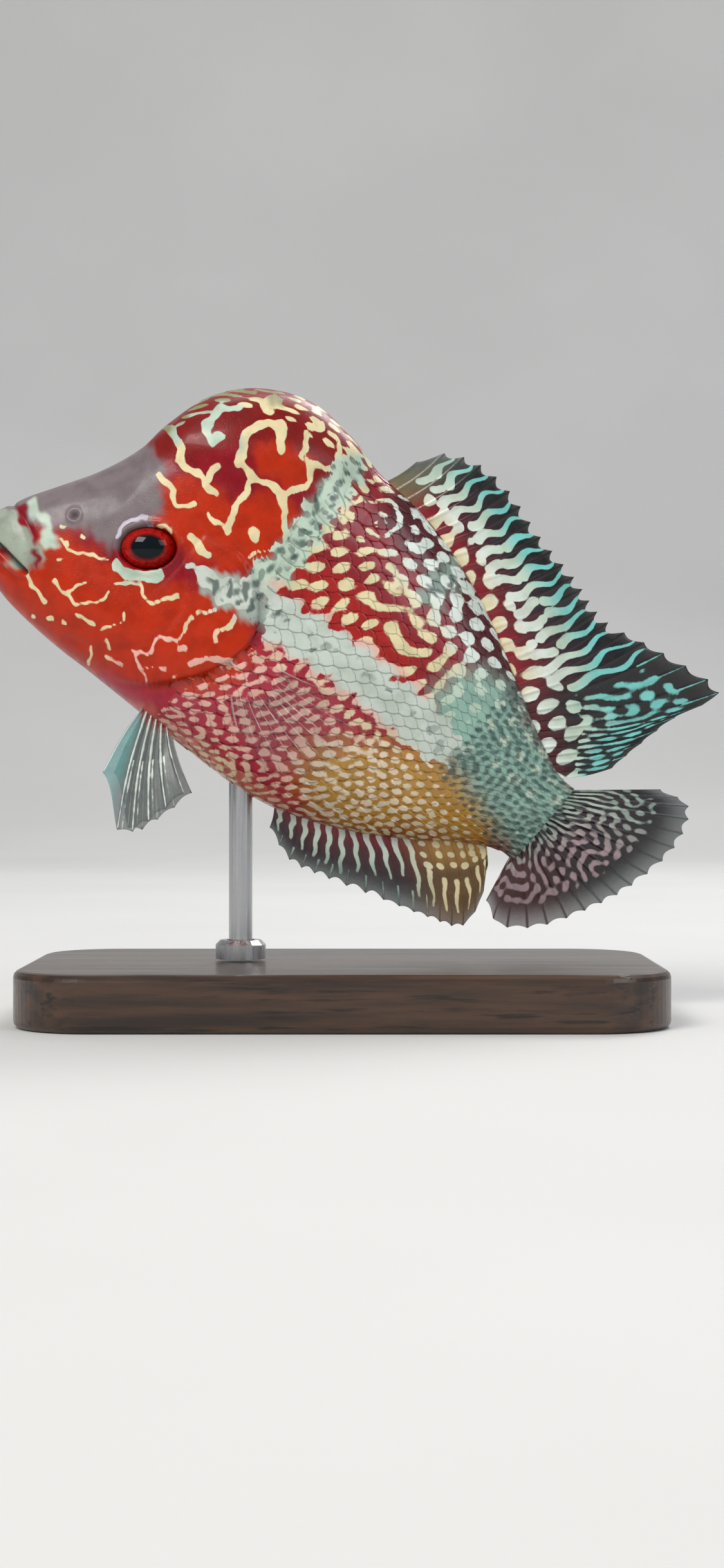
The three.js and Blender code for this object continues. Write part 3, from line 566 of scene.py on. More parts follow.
def worm_field(spacing, lie, stretch, dotted, fullness, seed):
    """Grows worms or dots of one spacing, and gives the distance to their edge, negative inside them."""
    rows, columns = FIELD_SHAPE
    across = np.fft.fftfreq(columns, FIELD_CELL)[None, :]
    up = np.fft.fftfreq(rows, FIELD_CELL)[:, None]
    turn = math.radians(lie)
    along = (across * math.cos(turn) + up * math.sin(turn)) * stretch
    over = up * math.cos(turn) - across * math.sin(turn)
    band = np.exp(-(((np.hypot(along, over) * spacing - 1) / 0.3) ** 2))
    field = np.random.default_rng(seed).normal(0, 1, FIELD_SHAPE)
    for _ in range(FIELD_ROUNDS):
        field = np.fft.ifft2(np.fft.fft2(np.tanh(2.0 * (field - dotted))) * band).real
        field /= field.std()
    return -(field / 1.3 - 0.6 * dotted + fullness) * spacing / (2 * math.pi)


WORMS = {name: worm_field(*kind, SEED + i) for i, (name, kind) in enumerate(WORM_KINDS.items())}


def worms(name, x, z):
    """The distance to one kind of worm, read between the cells of its field."""
    field = WORMS[name]
    column = np.clip((x - FIELD_LOW[0]) / FIELD_CELL, 0, FIELD_SHAPE[1] - 1.001)
    row = np.clip((z - FIELD_LOW[1]) / FIELD_CELL, 0, FIELD_SHAPE[0] - 1.001)
    i, j = row.astype(int), column.astype(int)
    a, b = row - i, column - j
    low = field[i, j] * (1 - b) + field[i, j + 1] * b
    high = field[i + 1, j] * (1 - b) + field[i + 1, j + 1] * b
    return low * (1 - a) + high * a


def flesh_pattern(x, z, level):
    """Distances to the pale worms and to the dark flecks of the body, whose kinds change from place to place.

    The level is the height as it runs over the rounded back and belly, so the worms keep their length."""
    back_gap = height_on(SECTIONS[:, :2], x) - z
    ragged = wobbled(x, z, 0.5)
    band_gap = path_distance(*ragged, rounded(BAND))
    below = smooth(1.0, -3.0, z - height_on(BAND, x))
    nape = smooth(3.3, 1.5, path_distance(*ragged, rounded(NAPE)))
    crest = smooth(6.5, 3.5, back_gap) * smooth(11.0, 14.0, x) * smooth(40.0, 37.0, x)
    stalk = smooth(57.0, 65.0, x - 0.2 * (z - 8.0)) * smooth(-3.0, 2.0, z - 0.35 * (70.0 - x))
    stalk = np.maximum(stalk, smooth(68.0, 73.0, x))
    body = smooth(-0.6, 0.8, behind_head(x, z))
    pale = worms("upper", x, level)
    for name, share in (
        ("back", smooth(12.0, 7.0, back_gap) * smooth(43.0, 49.0, x)),
        ("lower", below),
        ("gold", below * smooth(50.0, 58.0, x)),
        ("crest", crest),
        ("nape", nape),
    ):
        pale = pale * (1 - share) + worms(name, x, level) * share
    pale = pale + 3.0 * (1 - np.maximum(np.maximum(body, nape), crest))
    fuller = 0.55 * smooth(3.6, 1.6, band_gap) - 0.3 * smooth(1.8, 0.6, band_gap)
    pale = pale - fuller * smooth(26.0, 29.0, x)
    pale = pale + 2.0 * smooth(3.8, 2.6, np.hypot(x - RING_AT[0], z - RING_AT[1])) + 0.3 * stalk
    dark = worms("stalk", x, level) + 3.0 * (1 - stalk)
    saddle = smooth(3.4, 1.8, np.hypot(x - SADDLE_AT[0], z - SADDLE_AT[1]))
    flecked = smooth(2.6, 1.0, band_gap) * smooth(46.0, 36.0, x) + nape + saddle
    dark = np.minimum(dark, worms("lower", x + 7.0, level + 9.0) + 0.1 + 1.2 * (1 - np.minimum(flecked, 1)))
    return pale, dark


def paint_flesh(mesh, fish_points, centres=None):
    """Writes the ground colour, the marks' colour and the distances to the marks on skin or scales.

    A scale takes part of its ground colour from its centre, so that areas end in steps along the scales."""
    x, y, z = fish_points.T
    section_x = SECTIONS[:, [0, 2]].mean(axis=1)
    half = np.interp(x, section_x, SECTIONS[:, 4])
    middle = SECTIONS[:, 3] + (SECTIONS[:, 1] - SECTIONS[:, 3]) * SECTIONS[:, 5]
    above = z - np.interp(x, section_x, middle)
    level = z + np.clip(half - np.abs(y), 0, None) * np.tanh(above / 6.0)
    right = smooth(-1.0, 1.0, y)
    aside = right * 1.1 * np.sin(0.33 * z + 1.0)
    lifted = right * 0.9 * np.sin(0.29 * x + 2.0)
    x, z, level = x + aside, z + lifted, level + 3.0 * lifted
    ground_x, ground_z = x, z
    if centres is not None:
        own = SCALE_SHARE_OWN
        ground_x = own * x + (1 - own) * (centres[:, 0] + aside)
        ground_z = own * z + (1 - own) * (centres[:, 2] + lifted)
    set_colours(mesh, "ground", laid_on("crimson", GROUND_AREAS, *wobbled(ground_x, ground_z, 0.35)))
    set_colours(mesh, "mark", laid_on("cream", MARK_AREAS, *wobbled(x, z, 0.35)))
    dots = [(0.28, [(px, pz), (px + 0.3, pz + 0.1)]) for px, pz in PALE_DOTS]
    grown, flecks = flesh_pattern(x, z, level)
    set_floats(mesh, "pale", np.minimum(nearest_line(x, z, PALE_LINES + dots), grown))
    dark = np.minimum(nearest_line(x, z, DARK_LINES), flecks)
    # A painted shade line along the mouth's crease, carried with the dark flecks
    mouth = path_distance(x, z, rounded(MOUTH_LINE)) - MOUTH_SHADE_HALF_WIDTH
    set_floats(mesh, "dark", np.minimum(dark, mouth))


# Body skin

def ridge_at(gap, half_width):
    """A rounded ridge or groove of height 1 where the gap is nought."""
    return np.exp(-((gap / half_width) ** 2))


def eye_socket(x, z):
    """A hollow for the eye, with a raised rim."""
    dx, dz = x - EYE_AT[0], z - EYE_AT[1]
    along = dx * math.cos(PITCH) + dz * math.sin(PITCH)
    across = -dx * math.sin(PITCH) + dz * math.cos(PITCH)
    orbit = np.hypot(along / EYE_HALF[0], across / EYE_HALF[1])
    return -SOCKET_DEPTH * smooth(1.04, 0.86, orbit) + 0.42 * ridge_at(orbit - 1.14, 0.1)


def nostril(x, z):
    gap = np.hypot(x - NOSTRIL_AT[0], z - NOSTRIL_AT[1])
    return 0.14 * ridge_at(gap - 0.75, 0.28) - 0.8 * ridge_at(gap, 0.38)


def lips(x, z):
    """Two full lips along a deep mouth line, with a shallow groove round them."""
    mouth = path_distance(x, z, rounded(MOUTH_LINE))
    over = z > height_on(MOUTH_LINE, x)
    upper, lower = (path_distance(x, z, rounded(line)) for line in (UPPER_LIP_EDGE, LOWER_LIP_EDGE))
    edge = np.where(over, upper, lower)
    edge_z = np.where(over, height_on(UPPER_LIP_EDGE, x), height_on(LOWER_LIP_EDGE, x))
    in_lip = np.where(over, z < edge_z, z > edge_z) & (x < LIP_REAR)
    share = mouth / (mouth + edge + 1e-6)
    swell = np.sin(math.pi * share) ** 0.75 * np.where(over, *LIP_SWELL) * smooth(7.4, 4.5, x)
    out = np.where(in_lip, swell, 0.0)
    out -= 0.22 * ridge_at(edge, 0.35) * smooth(8.5, 6.5, x)
    return out - 1.1 * ridge_at(mouth, 0.26) * smooth(LIP_REAR, 5.8, x)


def gill_cover(x, z):
    """The cover's free edge stands up over a groove, and the cheek in front of it has a fold."""
    cover = rounded(GILL_COVER + GILL_COVER[:1])
    rim = path_distance(x, z, cover)
    signed = np.where(inside(x, z, cover), rim, -rim)
    swing = smooth(20.0, 32.0, x)
    out = COVER_STEP * swing * smooth(-0.15, 0.15, signed) * smooth(14.0, 2.0, signed)
    out -= 0.28 * swing * ridge_at(signed + 0.4, 0.3)
    out -= 0.16 * ridge_at(path_distance(x, z, rounded(CHEEK_FOLD)), 0.55)
    return out + 0.12 * ridge_at(x - 16.0, 5.0) * ridge_at(z - 2.0, 3.2)


def relief(x, z):
    """How far the head's features stand out of the plain surface, in millimetres."""
    return eye_socket(x, z) + nostril(x, z) + lips(x, z) + gill_cover(x, z)


def skin_points():
    """Rings of the skin from the snout's cap to the tail root, each down the left side and up the right."""
    shares = np.linspace(0, 1, SIDE_STEPS + 1)
    rings = [ring(t, shares) for t in SKIN_RINGS]
    first = rings[0]
    middle = np.array([(SECTIONS[0][0] + SECTIONS[0][2]) / 2, 0, (SECTIONS[0][1] + SECTIONS[0][3]) / 2])
    tip = np.array([SNOUT_TIP[0], 0, SNOUT_TIP[1]]) - middle
    turns = np.linspace(0, math.pi / 2, CAP_RINGS + 1)[1:-1]
    cap = [middle + (first - middle) * math.sin(a) + tip * math.cos(a) for a in turns]
    whole = []
    for points in cap + rings:
        left = points * (1, -1, 1)
        whole.append(np.concatenate([left, points[-2:0:-1]]))
    return np.array(whole), middle + tip


def body_skin():
    rings, tip = skin_points()
    count, around = rings.shape[:2]
    end = rings[-1].mean(axis=0)
    vertices = np.concatenate([rings.reshape(-1, 3), [tip, end]])
    made = mesh_object("body_skin", to_world(vertices), shell_faces(count, around))
    mesh = made.data
    normals = vectors_of(mesh.vertices, "normal")
    if (normals[:, 1] * vertices[:, 1]).sum() < 0:
        mesh.flip_normals()
        normals = -normals
    x, _, z = vertices.T
    moved = to_world(vertices) + normals * relief(x, z)[:, None] * MM
    mesh.vertices.foreach_set("co", moved.astype(np.float32).ravel())
    mesh.update()
    paint_flesh(mesh, vertices)
    girth = np.tile(np.arange(around) / around, count)
    length = np.repeat(np.arange(count) / count, around)
    unwrap = np.stack([np.concatenate([length, [0, 1]]), np.concatenate([girth, [0.5, 0.5]])], axis=1)
    set_uv(mesh, "SkinMap", unwrap)
    return made


# Scales

def scale_plate():
    """One unit scale, root at -0.5 and free edge at +0.5 along x, its height held in the lift attribute."""
    vertices = []
    lift = []
    for x in PLATE_STATIONS:
        tail = max(x + 0.05, 0.0) / 0.55
        half = 0.56 * math.sqrt(max(1.0 - tail**1.9, 0.02))
        for y in np.linspace(-1, 1, PLATE_ACROSS):
            vertices.append((x - 0.05 * y * y * (x > 0), y * half, 0.0))
            crown = 1.0 - 0.5 * y * y
            lift.append((x + 0.5) * (0.6 + 0.4 * crown))
    index = np.arange(PLATE_TOP).reshape(-1, PLATE_ACROSS)
    rim = grid_rim(index)
    underside = PLATE_TOP + np.arange(len(rim))
    for i in rim:
        x, y, _ = vertices[i]
        vertices.append((x * UNDERSIDE_SHARE, y * UNDERSIDE_SHARE, 0.0))
        lift.append(-0.5)
    faces = grid_faces(index).tolist() + rim_faces(rim, underside).tolist() + [underside[::-1].tolist()]
    plate = mesh_object("scale_plate", vertices, faces)
    set_floats(plate.data, "lift", lift)
    return plate, len(vertices)


def scale_columns():
    """Section parameters of the scale columns, closer towards the tail."""
    t = FIRST_COLUMN
    step = 0.05
    columns = []
    while t < LAST - 0.15:
        columns.append(t)
        back_x, back_z, belly_x, belly_z = section_at(t)[:4]
        spacing = 0.62 + 0.026 * math.hypot(back_x - belly_x, back_z - belly_z)
        ahead = section_at(t + step)[[0, 2]].mean()
        t += spacing * step / (ahead - (back_x + belly_x) / 2)
    return columns


def behind_head(x, z):
    """Distance behind the line where the head's bare skin ends."""
    return x - height_on(HEAD_REAR, z)


def unwrapped(t, shares, side):
    """Places on a flat unwrap of the skin: along the body, then round it from the back down the left side."""
    around = shares / 2 if side < 0 else 1 - shares / 2
    return np.stack([np.full(shares.shape, 0.02 + 0.96 * t / LAST), 0.02 + 0.96 * around], axis=1)


def scale_seeds(side):
    """Roots, normals, lie, sizes and places on the unwrap of the scales on one side."""
    roots, normals, lies, sizes, unwrap = [], [], [], [], []
    columns = scale_columns()
    for c, t in enumerate(columns):
        offset = 0.5 * (c % 2)
        shares = (np.arange(SCALE_ROWS_PER_SIDE) + 0.5 + offset) / (SCALE_ROWS_PER_SIDE + 0.5)
        shares = shares[shares < 0.992]
        here = ring(t, shares)
        ahead = ring(t + 0.04, shares)
        beside = ring(t, np.clip(shares + 0.004, 0, 1))
        lie = ahead - here
        lie /= np.linalg.norm(lie, axis=1)[:, None]
        around = beside - here
        width = np.linalg.norm(around, axis=1) / 0.004 / SCALE_ROWS_PER_SIDE
        normal = np.cross(lie, around)
        normal /= np.linalg.norm(normal, axis=1)[:, None]
        normal *= np.sign((normal * (here - [here[:, 0].mean(), 0, here[:, 2].mean()])).sum(axis=1))[:, None]
        step = columns[min(c + 1, len(columns) - 1)] - columns[min(c, len(columns) - 2)]
        spacing = np.linalg.norm(ahead - here, axis=1) * step / 0.04
        keep = behind_head(here[:, 0], here[:, 2]) > -0.2
        flip = np.array([1, side, 1])
        roots += list((here * flip)[keep])
        normals += list((normal * flip)[keep])
        lies += list((lie * flip)[keep])
        size = np.stack([spacing * SCALE_OVERLAP, width * SCALE_WIDTH, np.ones(len(here))], axis=1)
        sizes += list(size[keep])
        unwrap += list(unwrapped(t, shares, side)[keep])
    return [np.array(rows) for rows in (roots, normals, lies, sizes, unwrap)]


def turned_to_world(vectors):
    x, y, z = vectors.T
    return np.stack([
        x * math.cos(PITCH) + z * math.sin(PITCH), y, z * math.cos(PITCH) - x * math.sin(PITCH),
    ], axis=1)


def feed(tree, value, socket):
    """Links a value to a socket, or sets the socket to it where it is a plain value."""
    if isinstance(value, bpy.types.NodeSocket):
        tree.links.new(value, socket)
    else:
        socket.default_value = value


def add_node(tree, kind, inputs, output, **options):
    """Adds a node with its options and inputs, and gives the one of its outputs that is named."""
    node = tree.nodes.new(kind)
    for name, value in options.items():
        setattr(node, name, value)
    for name, value in inputs.items():
        feed(tree, value, node.inputs[name])
    return node.outputs[output]


def scale_tree(skin, plate, material):
    """Sets a plate on every seed, turned to its lie, and presses it onto the skin."""
    tree = bpy.data.node_groups.new("scales_on_skin", "GeometryNodeTree")
    face = tree.interface
    face.new_socket("Geometry", in_out="INPUT", socket_type="NodeSocketGeometry")
    for name in ("Lift", "Overlap"):
        face.new_socket(name, in_out="INPUT", socket_type="NodeSocketFloat")
    face.new_socket("Geometry", in_out="OUTPUT", socket_type="NodeSocketGeometry")
    start = tree.nodes.new("NodeGroupInput").outputs
    end = tree.nodes.new("NodeGroupOutput").inputs

    def add(kind, inputs, output, **options):
        return add_node(tree, kind, inputs, output, **options)

    def named(name, kind="FLOAT_VECTOR"):
        return add("GeometryNodeInputNamedAttribute", {"Name": name}, "Attribute", data_type=kind)

    def from_object(thing):
        return add("GeometryNodeObjectInfo", {"Object": thing}, "Geometry", transform_space="RELATIVE")

    def turned(inputs, **axes):
        return add("FunctionNodeAlignRotationToVector", inputs, "Rotation", **axes)

    upright = turned({"Vector": named("normal_to")}, axis="Z")
    facing = turned({"Rotation": upright, "Vector": named("lie_along")}, axis="X", pivot_axis="Z")
    seats = {"Points": start["Geometry"], "Instance": from_object(plate), "Rotation": facing}
    placed = add("GeometryNodeInstanceOnPoints", {**seats, "Scale": named("plate_size")}, "Instances")
    real = add("GeometryNodeRealizeInstances", {"Geometry": placed}, "Geometry")

    skin_geometry = from_object(skin)
    on_skin = []
    for source in ("GeometryNodeInputPosition", "GeometryNodeInputNormal"):
        sampled = {"Mesh": skin_geometry, "Value": add(source, {}, 0)}
        on_skin.append(add("GeometryNodeSampleNearestSurface", sampled, "Value", data_type="FLOAT_VECTOR"))
    lift = {0: named("lift", "FLOAT"), 1: start["Lift"], 2: start["Overlap"]}
    height = add("ShaderNodeMath", lift, 0, operation="MULTIPLY_ADD")
    outward = add("ShaderNodeVectorMath", {0: on_skin[1], "Scale": height}, 0, operation="SCALE")
    raised = add("ShaderNodeVectorMath", {0: on_skin[0], 1: outward}, 0, operation="ADD")
    pressed = add("GeometryNodeSetPosition", {"Geometry": real, "Position": raised}, "Geometry")
    coat = add("GeometryNodeSetMaterial", {"Geometry": pressed, "Material": material}, "Geometry")
    feed(tree, coat, end["Geometry"])
    return tree


def scales(side, skin, material):
    """The coat of scales of one side, as one mesh."""
    name = "scales_left" if side < 0 else "scales_right"
    roots, normals, lies, sizes, unwrap = scale_seeds(side)
    draw = np.random.default_rng(SEED + (side > 0))
    seeds = mesh_object(name + "_seeds", to_world(roots), [])
    plate, plate_count = scale_plate()
    on_plate = vectors_of(plate.data.vertices, "co")[:, :2]
    for attribute, vectors in (
        ("normal_to", turned_to_world(normals)),
        ("lie_along", turned_to_world(lies)),
        ("plate_size", sizes * MM * draw.uniform(0.94, 1.08, (len(sizes), 1))),
    ):
        layer = seeds.data.attributes.new(attribute, "FLOAT_VECTOR", "POINT")
        layer.data.foreach_set("vector", vectors.astype(np.float32).ravel())
    modifier = seeds.modifiers.new("scales", "NODES")
    tree = scale_tree(skin, plate, material)
    modifier.node_group = tree
    values = {"Lift": SCALE_LIFT * MM, "Overlap": SCALE_BACK * MM}
    for item in tree.interface.items_tree:
        if item.in_out == "INPUT" and item.name in values:
            modifier[item.identifier] = values[item.name]
    graph = bpy.context.evaluated_depsgraph_get()
    mesh = bpy.data.meshes.new_from_object(seeds.evaluated_get(graph))
    for thing in (seeds, plate):
        bpy.data.objects.remove(thing)
    mesh.name = name
    made = bpy.data.objects.new(name, mesh)
    bpy.context.scene.collection.objects.link(made)
    mesh.shade_smooth()

    places = to_fish(vectors_of(mesh.vertices, "co"))
    centres = places.reshape(-1, plate_count, 3)[:, :PLATE_TOP].mean(axis=1)
    paint_flesh(mesh, places, np.repeat(centres, plate_count, axis=0))
    patches = unwrap[:, None, :] + on_plate[None, :, :] * BAKE_PATCH
    set_uv(mesh, "OFBake", patches.reshape(-1, 2))
    return made


# Fins

def fin_ends(fin, ray):
    """Where a ray leaves the body and where it ends."""
    return [curve_through(fin[end], fin[end + "_at"], ray) for end in ("base", "edge")]


def fin_places(fin, ray, reach):
    """Places on a fin's middle sheet: out of the body along its rays, which bow a little to the rear."""
    base, edge = fin_ends(fin, ray)
    span = edge - base
    bow = fin["bow"] * np.sin(math.pi * np.clip(reach, 0, 1))
    x = base[..., 0] + span[..., 0] * reach + bow * span[..., 1]
    z = base[..., 1] + span[..., 1] * reach - bow * span[..., 0]
    near, far = fin["out"]
    y = near + (far - near) * reach
    ripple = fin["ripple"] * np.clip(reach, 0, 1) ** 1.5
    return np.stack([x, y + ripple * np.sin(ray * 0.9 + 1.3), z], axis=-1)


def margin(fin, ray):
    """How far the membrane reaches at each place along the margin, as a share of the ray's length."""
    part = ray - np.floor(ray)
    spiny = (ray < fin["spines"]) & (part > 1e-6)
    dip = np.where(spiny, 0.085 * np.sin(math.pi * part) * (1.3 - 0.6 * part), 0.035 * np.sin(math.pi * part))
    return 1.0 - dip


def fin_mesh(name, fin, side=1):
    """A fin's two faces and rim, with rays as ridges, and the ray, reach and ridge at each of its places."""
    per_ray, rows = fin["steps"]
    count = per_ray * (fin["rays"] - 1) + 1
    ray = np.linspace(0, fin["rays"] - 1, count)
    share = np.linspace(0, 1, rows + 1)
    rays, shares = np.meshgrid(ray, share, indexing="ij")
    reach = -FIN_ROOT + (margin(fin, rays) + FIN_ROOT) * shares
    middle = fin_places(fin, rays, reach)
    along = np.gradient(middle, axis=1)
    over = np.gradient(middle, axis=0)
    normal = np.cross(along, over)
    normal /= np.linalg.norm(normal, axis=-1)[..., None] + 1e-12
    off_ray = np.abs(rays - np.round(rays)) * np.linalg.norm(over, axis=-1) * per_ray
    ridge = ridge_at(off_ray, RAY_HALF_WIDTH)
    segment = 1.0 + 0.12 * np.sin(reach * fin["length"] * 9.0)
    taper = 1.0 - 0.72 * np.clip(reach, 0, 1)
    half = MEMBRANE * (1.0 - 0.5 * np.clip(reach, 0, 1)) + ridge * RAY_RIDGE * taper * segment
    thickness = normal * half[..., None]
    flip = np.array([1, side, 1])
    vertices = np.stack([middle + thickness, middle - thickness]).reshape(-1, 3) * flip
    index = np.arange(count * (rows + 1)).reshape(count, rows + 1)
    front = grid_faces(index)
    rim = grid_rim(index)
    faces = np.concatenate([front, front[:, ::-1] + index.size, rim_faces(rim, rim + index.size)])
    made = mesh_object(name, to_world(vertices), faces.tolist())
    normals = vectors_of(made.data.polygons, "normal")[: len(front)]
    expected = turned_to_world((normal * flip).reshape(-1, 3))[front[:, 0]]
    if (normals * expected).sum() < 0:
        made.data.flip_normals()
    return made, np.tile(rays.ravel(), 2), np.tile(reach.ravel(), 2), np.tile(ridge.ravel(), 2)


class Marks:
    """Collects the pale marks of a fin as distances in millimetres."""

    def __init__(self, fin, ray, reach):
        self.fin, self.ray, self.reach = fin, ray, reach
        step = 0.05
        base, edge = fin_ends(fin, ray)
        next_base, next_edge = fin_ends(fin, np.clip(ray + step, 0, fin["rays"] - 1))
        self.length = np.linalg.norm(edge - base, axis=-1)
        here = base + (edge - base) * reach[:, None]
        beside = next_base + (next_edge - next_base) * reach[:, None]
        self.spacing = np.maximum(np.linalg.norm(beside - here, axis=-1) / step, 0.25)
        self.near = np.full(ray.shape, NO_MARK)

    def dash(self, ray, reach, half_width, half_length):
        """A short oval mark."""
        across = (self.ray - ray) * self.spacing
        along = (self.reach - reach) * self.length
        share = np.hypot(across / half_width, along / half_length)
        self.near = np.minimum(self.near, (share - 1) * half_width)

    def streak(self, ray, start, stop, half_width, wave=0.0, phase=0.0, narrowing=0.55):
        """A long mark that follows a ray, may wave, and narrows towards the edge."""
        clipped = np.clip(self.reach, start, stop)
        centre = ray + wave * np.sin(clipped * 17.0 + phase)
        taper = 1.0 - narrowing * (clipped - start) / (stop - start)
        gap = np.hypot((self.ray - centre) * self.spacing, (self.reach - clipped) * self.length)
        self.near = np.minimum(self.near, gap - np.minimum(half_width, 0.36 * self.spacing) * taper)

    def grow(self, kind, share, pitch=1.2, along_body=False):
        """Adds one kind of worm where the share is near 1, along the rays or in line with the body's own."""
        if along_body:
            places = fin_places(self.fin, self.ray, self.reach)
            near = worms(kind, places[:, 0], places[:, 2])
        else:
            near = worms(kind, self.reach * self.length, self.ray * pitch)
        self.near = np.minimum(self.near, near + 3.0 * (1 - share))


def blended(stops, value):
    """Colours along a list of (value, palette name) stops."""
    places = [s[0] for s in stops]
    channels = np.array([colour(s[1]) for s in stops])
    return np.stack([np.interp(value, places, channels[:, k]) for k in range(3)], axis=1)


def mix(first, second, share):
    """The first colours with a share of the second laid over them."""
    return first * (1 - share[:, None]) + second * share[:, None]


def paint_fin(mesh, ground, mark, pale, clear):
    set_colours(mesh, "ground", ground)
    set_colours(mesh, "mark", mark)
    set_floats(mesh, "pale", pale)
    set_floats(mesh, "dark", np.full(len(pale), NO_MARK))
    set_floats(mesh, "clear", clear)


def dorsal_fin():
    """Dark, with worms from the body at its foot and pale wavy streaks between its rays."""
    made, ray, reach, ridge = fin_mesh("dorsal_fin_skin", DORSAL)
    draw = np.random.default_rng(SEED + 2)
    marks = Marks(DORSAL, ray, reach)
    rear = smooth(15.0, 19.0, ray)
    front = smooth(3.5, 0.5, ray)
    marks.grow("back", smooth(0.42, 0.26, reach) * (1 - 0.5 * front), along_body=True)
    marks.grow("soft", rear * smooth(0.16, 0.26, reach) * smooth(1.02, 0.8, reach), pitch=1.3)
    for k in range(1, 18):
        start, stop = 0.3 + 0.05 * draw.normal(), 0.97 + 0.012 * draw.normal()
        phase = draw.uniform(0, 6)
        wave = draw.uniform(0.1, 0.24)
        if draw.random() < 0.42:
            split = 0.5 + 0.06 * draw.normal()
            marks.streak(k + 0.5, start, split - 0.05, 0.7, wave, phase, 0.1)
            start = split + 0.05
        marks.streak(k + 0.5, start, stop, 0.76, wave, phase, 0.8)
    for k in range(18, 27):
        marks.streak(k, 0.8, 0.995, 0.09)
    ground = blended([(0.0, "crimson"), (0.3, "maroon"), (0.5, "purple"), (0.8, "black")], reach)
    ground = mix(ground, blended([(0.0, "maroon"), (0.25, "black")], reach), rear)
    ground = mix(ground, blended([(0.0, "olive"), (1.0, "smoke")], reach), front * 0.8)
    mark_stops = [(0.0, "cream"), (0.3, "white"), (0.55, "mint"), (0.75, "turquoise")]
    mark = mix(blended(mark_stops, reach + 0.3 * rear), colour("mint"), front)
    clear = 1.0 - smooth(0.8, 1.0, reach) * (0.34 - 0.1 * rear) - 0.25 * front * smooth(0.2, 0.9, reach)
    paint_fin(made.data, ground, mark, marks.near, np.maximum(clear, ridge * 0.9))
    return made


def anal_fin():
    """Dark with pale streaks in front, and golden with rows of spots at the rear."""
    made, ray, reach, ridge = fin_mesh("anal_fin_skin", ANAL)
    draw = np.random.default_rng(SEED + 3)
    marks = Marks(ANAL, ray, reach)
    for k in range(17):
        if k < 11:
            marks.streak(k + 0.5, 0.0, 0.66 + 0.06 * draw.normal(), 0.44, 0.07, draw.uniform(0, 6))
            marks.streak(k + 1.0, 0.72, 0.97, 0.1)
        else:
            for row in range(3):
                height = 0.05 + 0.13 * row + draw.normal(0, 0.02)
                place = k + 0.5 + draw.normal(0, 0.08)
                marks.dash(place, height, draw.uniform(0.4, 0.55), draw.uniform(0.36, 0.48))
            marks.streak(k + 0.5, 0.45 + 0.04 * draw.normal(), 0.84, 0.34, 0.08, draw.uniform(0, 6))
    rear = smooth(9.0, 13.0, ray)
    ground = blended([(0.0, "crimson"), (0.25, "maroon"), (0.6, "purple"), (1.0, "smoke")], reach)
    ground = mix(ground, blended([(0.0, "gold"), (0.4, "umber")], reach), rear)
    mark = mix(blended([(0.0, "white"), (0.4, "mint"), (1.0, "slate")], reach), colour("cream"), rear)
    clear = 1.0 - 0.36 * smooth(0.6, 1.0, reach)
    paint_fin(made.data, ground, mark, marks.near, np.maximum(clear, ridge * 0.9))
    return made


def caudal_fin():
    """Dark with a fine pale net, greener above and redder below."""
    made, ray, reach, ridge = fin_mesh("caudal_fin_skin", CAUDAL)
    marks = Marks(CAUDAL, ray, reach)
    marks.grow("ray", smooth(-0.15, 0.02, reach) * smooth(1.04, 0.7, reach))
    low = smooth(9.0, 15.0, ray)
    high = smooth(8.0, 2.0, ray)
    ground = blended([(0.0, "dark teal"), (0.25, "purple"), (0.8, "black"), (1.0, "smoke")], reach)
    ground = mix(ground, blended([(0.0, "maroon"), (0.6, "russet")], reach), low * 0.8)
    mark = blended([(0.0, "mint"), (0.35, "grey pink"), (0.7, "grey pink"), (1.0, "smoke")], reach)
    mark = mix(mark, blended([(0.0, "mint"), (0.6, "teal"), (1.0, "slate")], reach), high * 0.75)
    clear = 1.0 - 0.42 * smooth(0.6, 1.0, reach) - 0.08 * low
    paint_fin(made.data, ground, mark, marks.near, np.maximum(clear, ridge * 0.85))
    return made


def paired_fin(kind, side):
    """A pectoral or pelvic fin: a clear membrane on white rays."""
    pelvic = kind == "pelvic"
    fin = PELVIC if pelvic else PECTORAL
    name = f"{kind}_fin_skin_{'left' if side < 0 else 'right'}"
    made, ray, reach, ridge = fin_mesh(name, fin, side)
    marks = Marks(fin, ray, reach)
    for k in range(fin["rays"]):
        marks.streak(k, -0.1, 0.99, 0.17 if pelvic else 0.06)
        if pelvic:
            marks.streak(k + 0.28, 0.4, 0.97, 0.08)
    lead = smooth(1.0, 0.1, ray) if pelvic else np.zeros(ray.shape)
    ground = mix(colour("smoke"), colour("turquoise"), lead * 0.8)
    mark = mix(colour("white"), blended([(0.0, "turquoise"), (1.0, "white")], reach), lead * 0.6)
    if pelvic:
        ground = mix(ground, colour("crimson"), smooth(0.14, 0.0, reach))
    clear = np.maximum((0.55 if pelvic else 0.14) - 0.1 * reach, ridge * (0.9 if pelvic else 0.16))
    paint_fin(made.data, ground, mark, marks.near, clear)
    return made


# Eyes

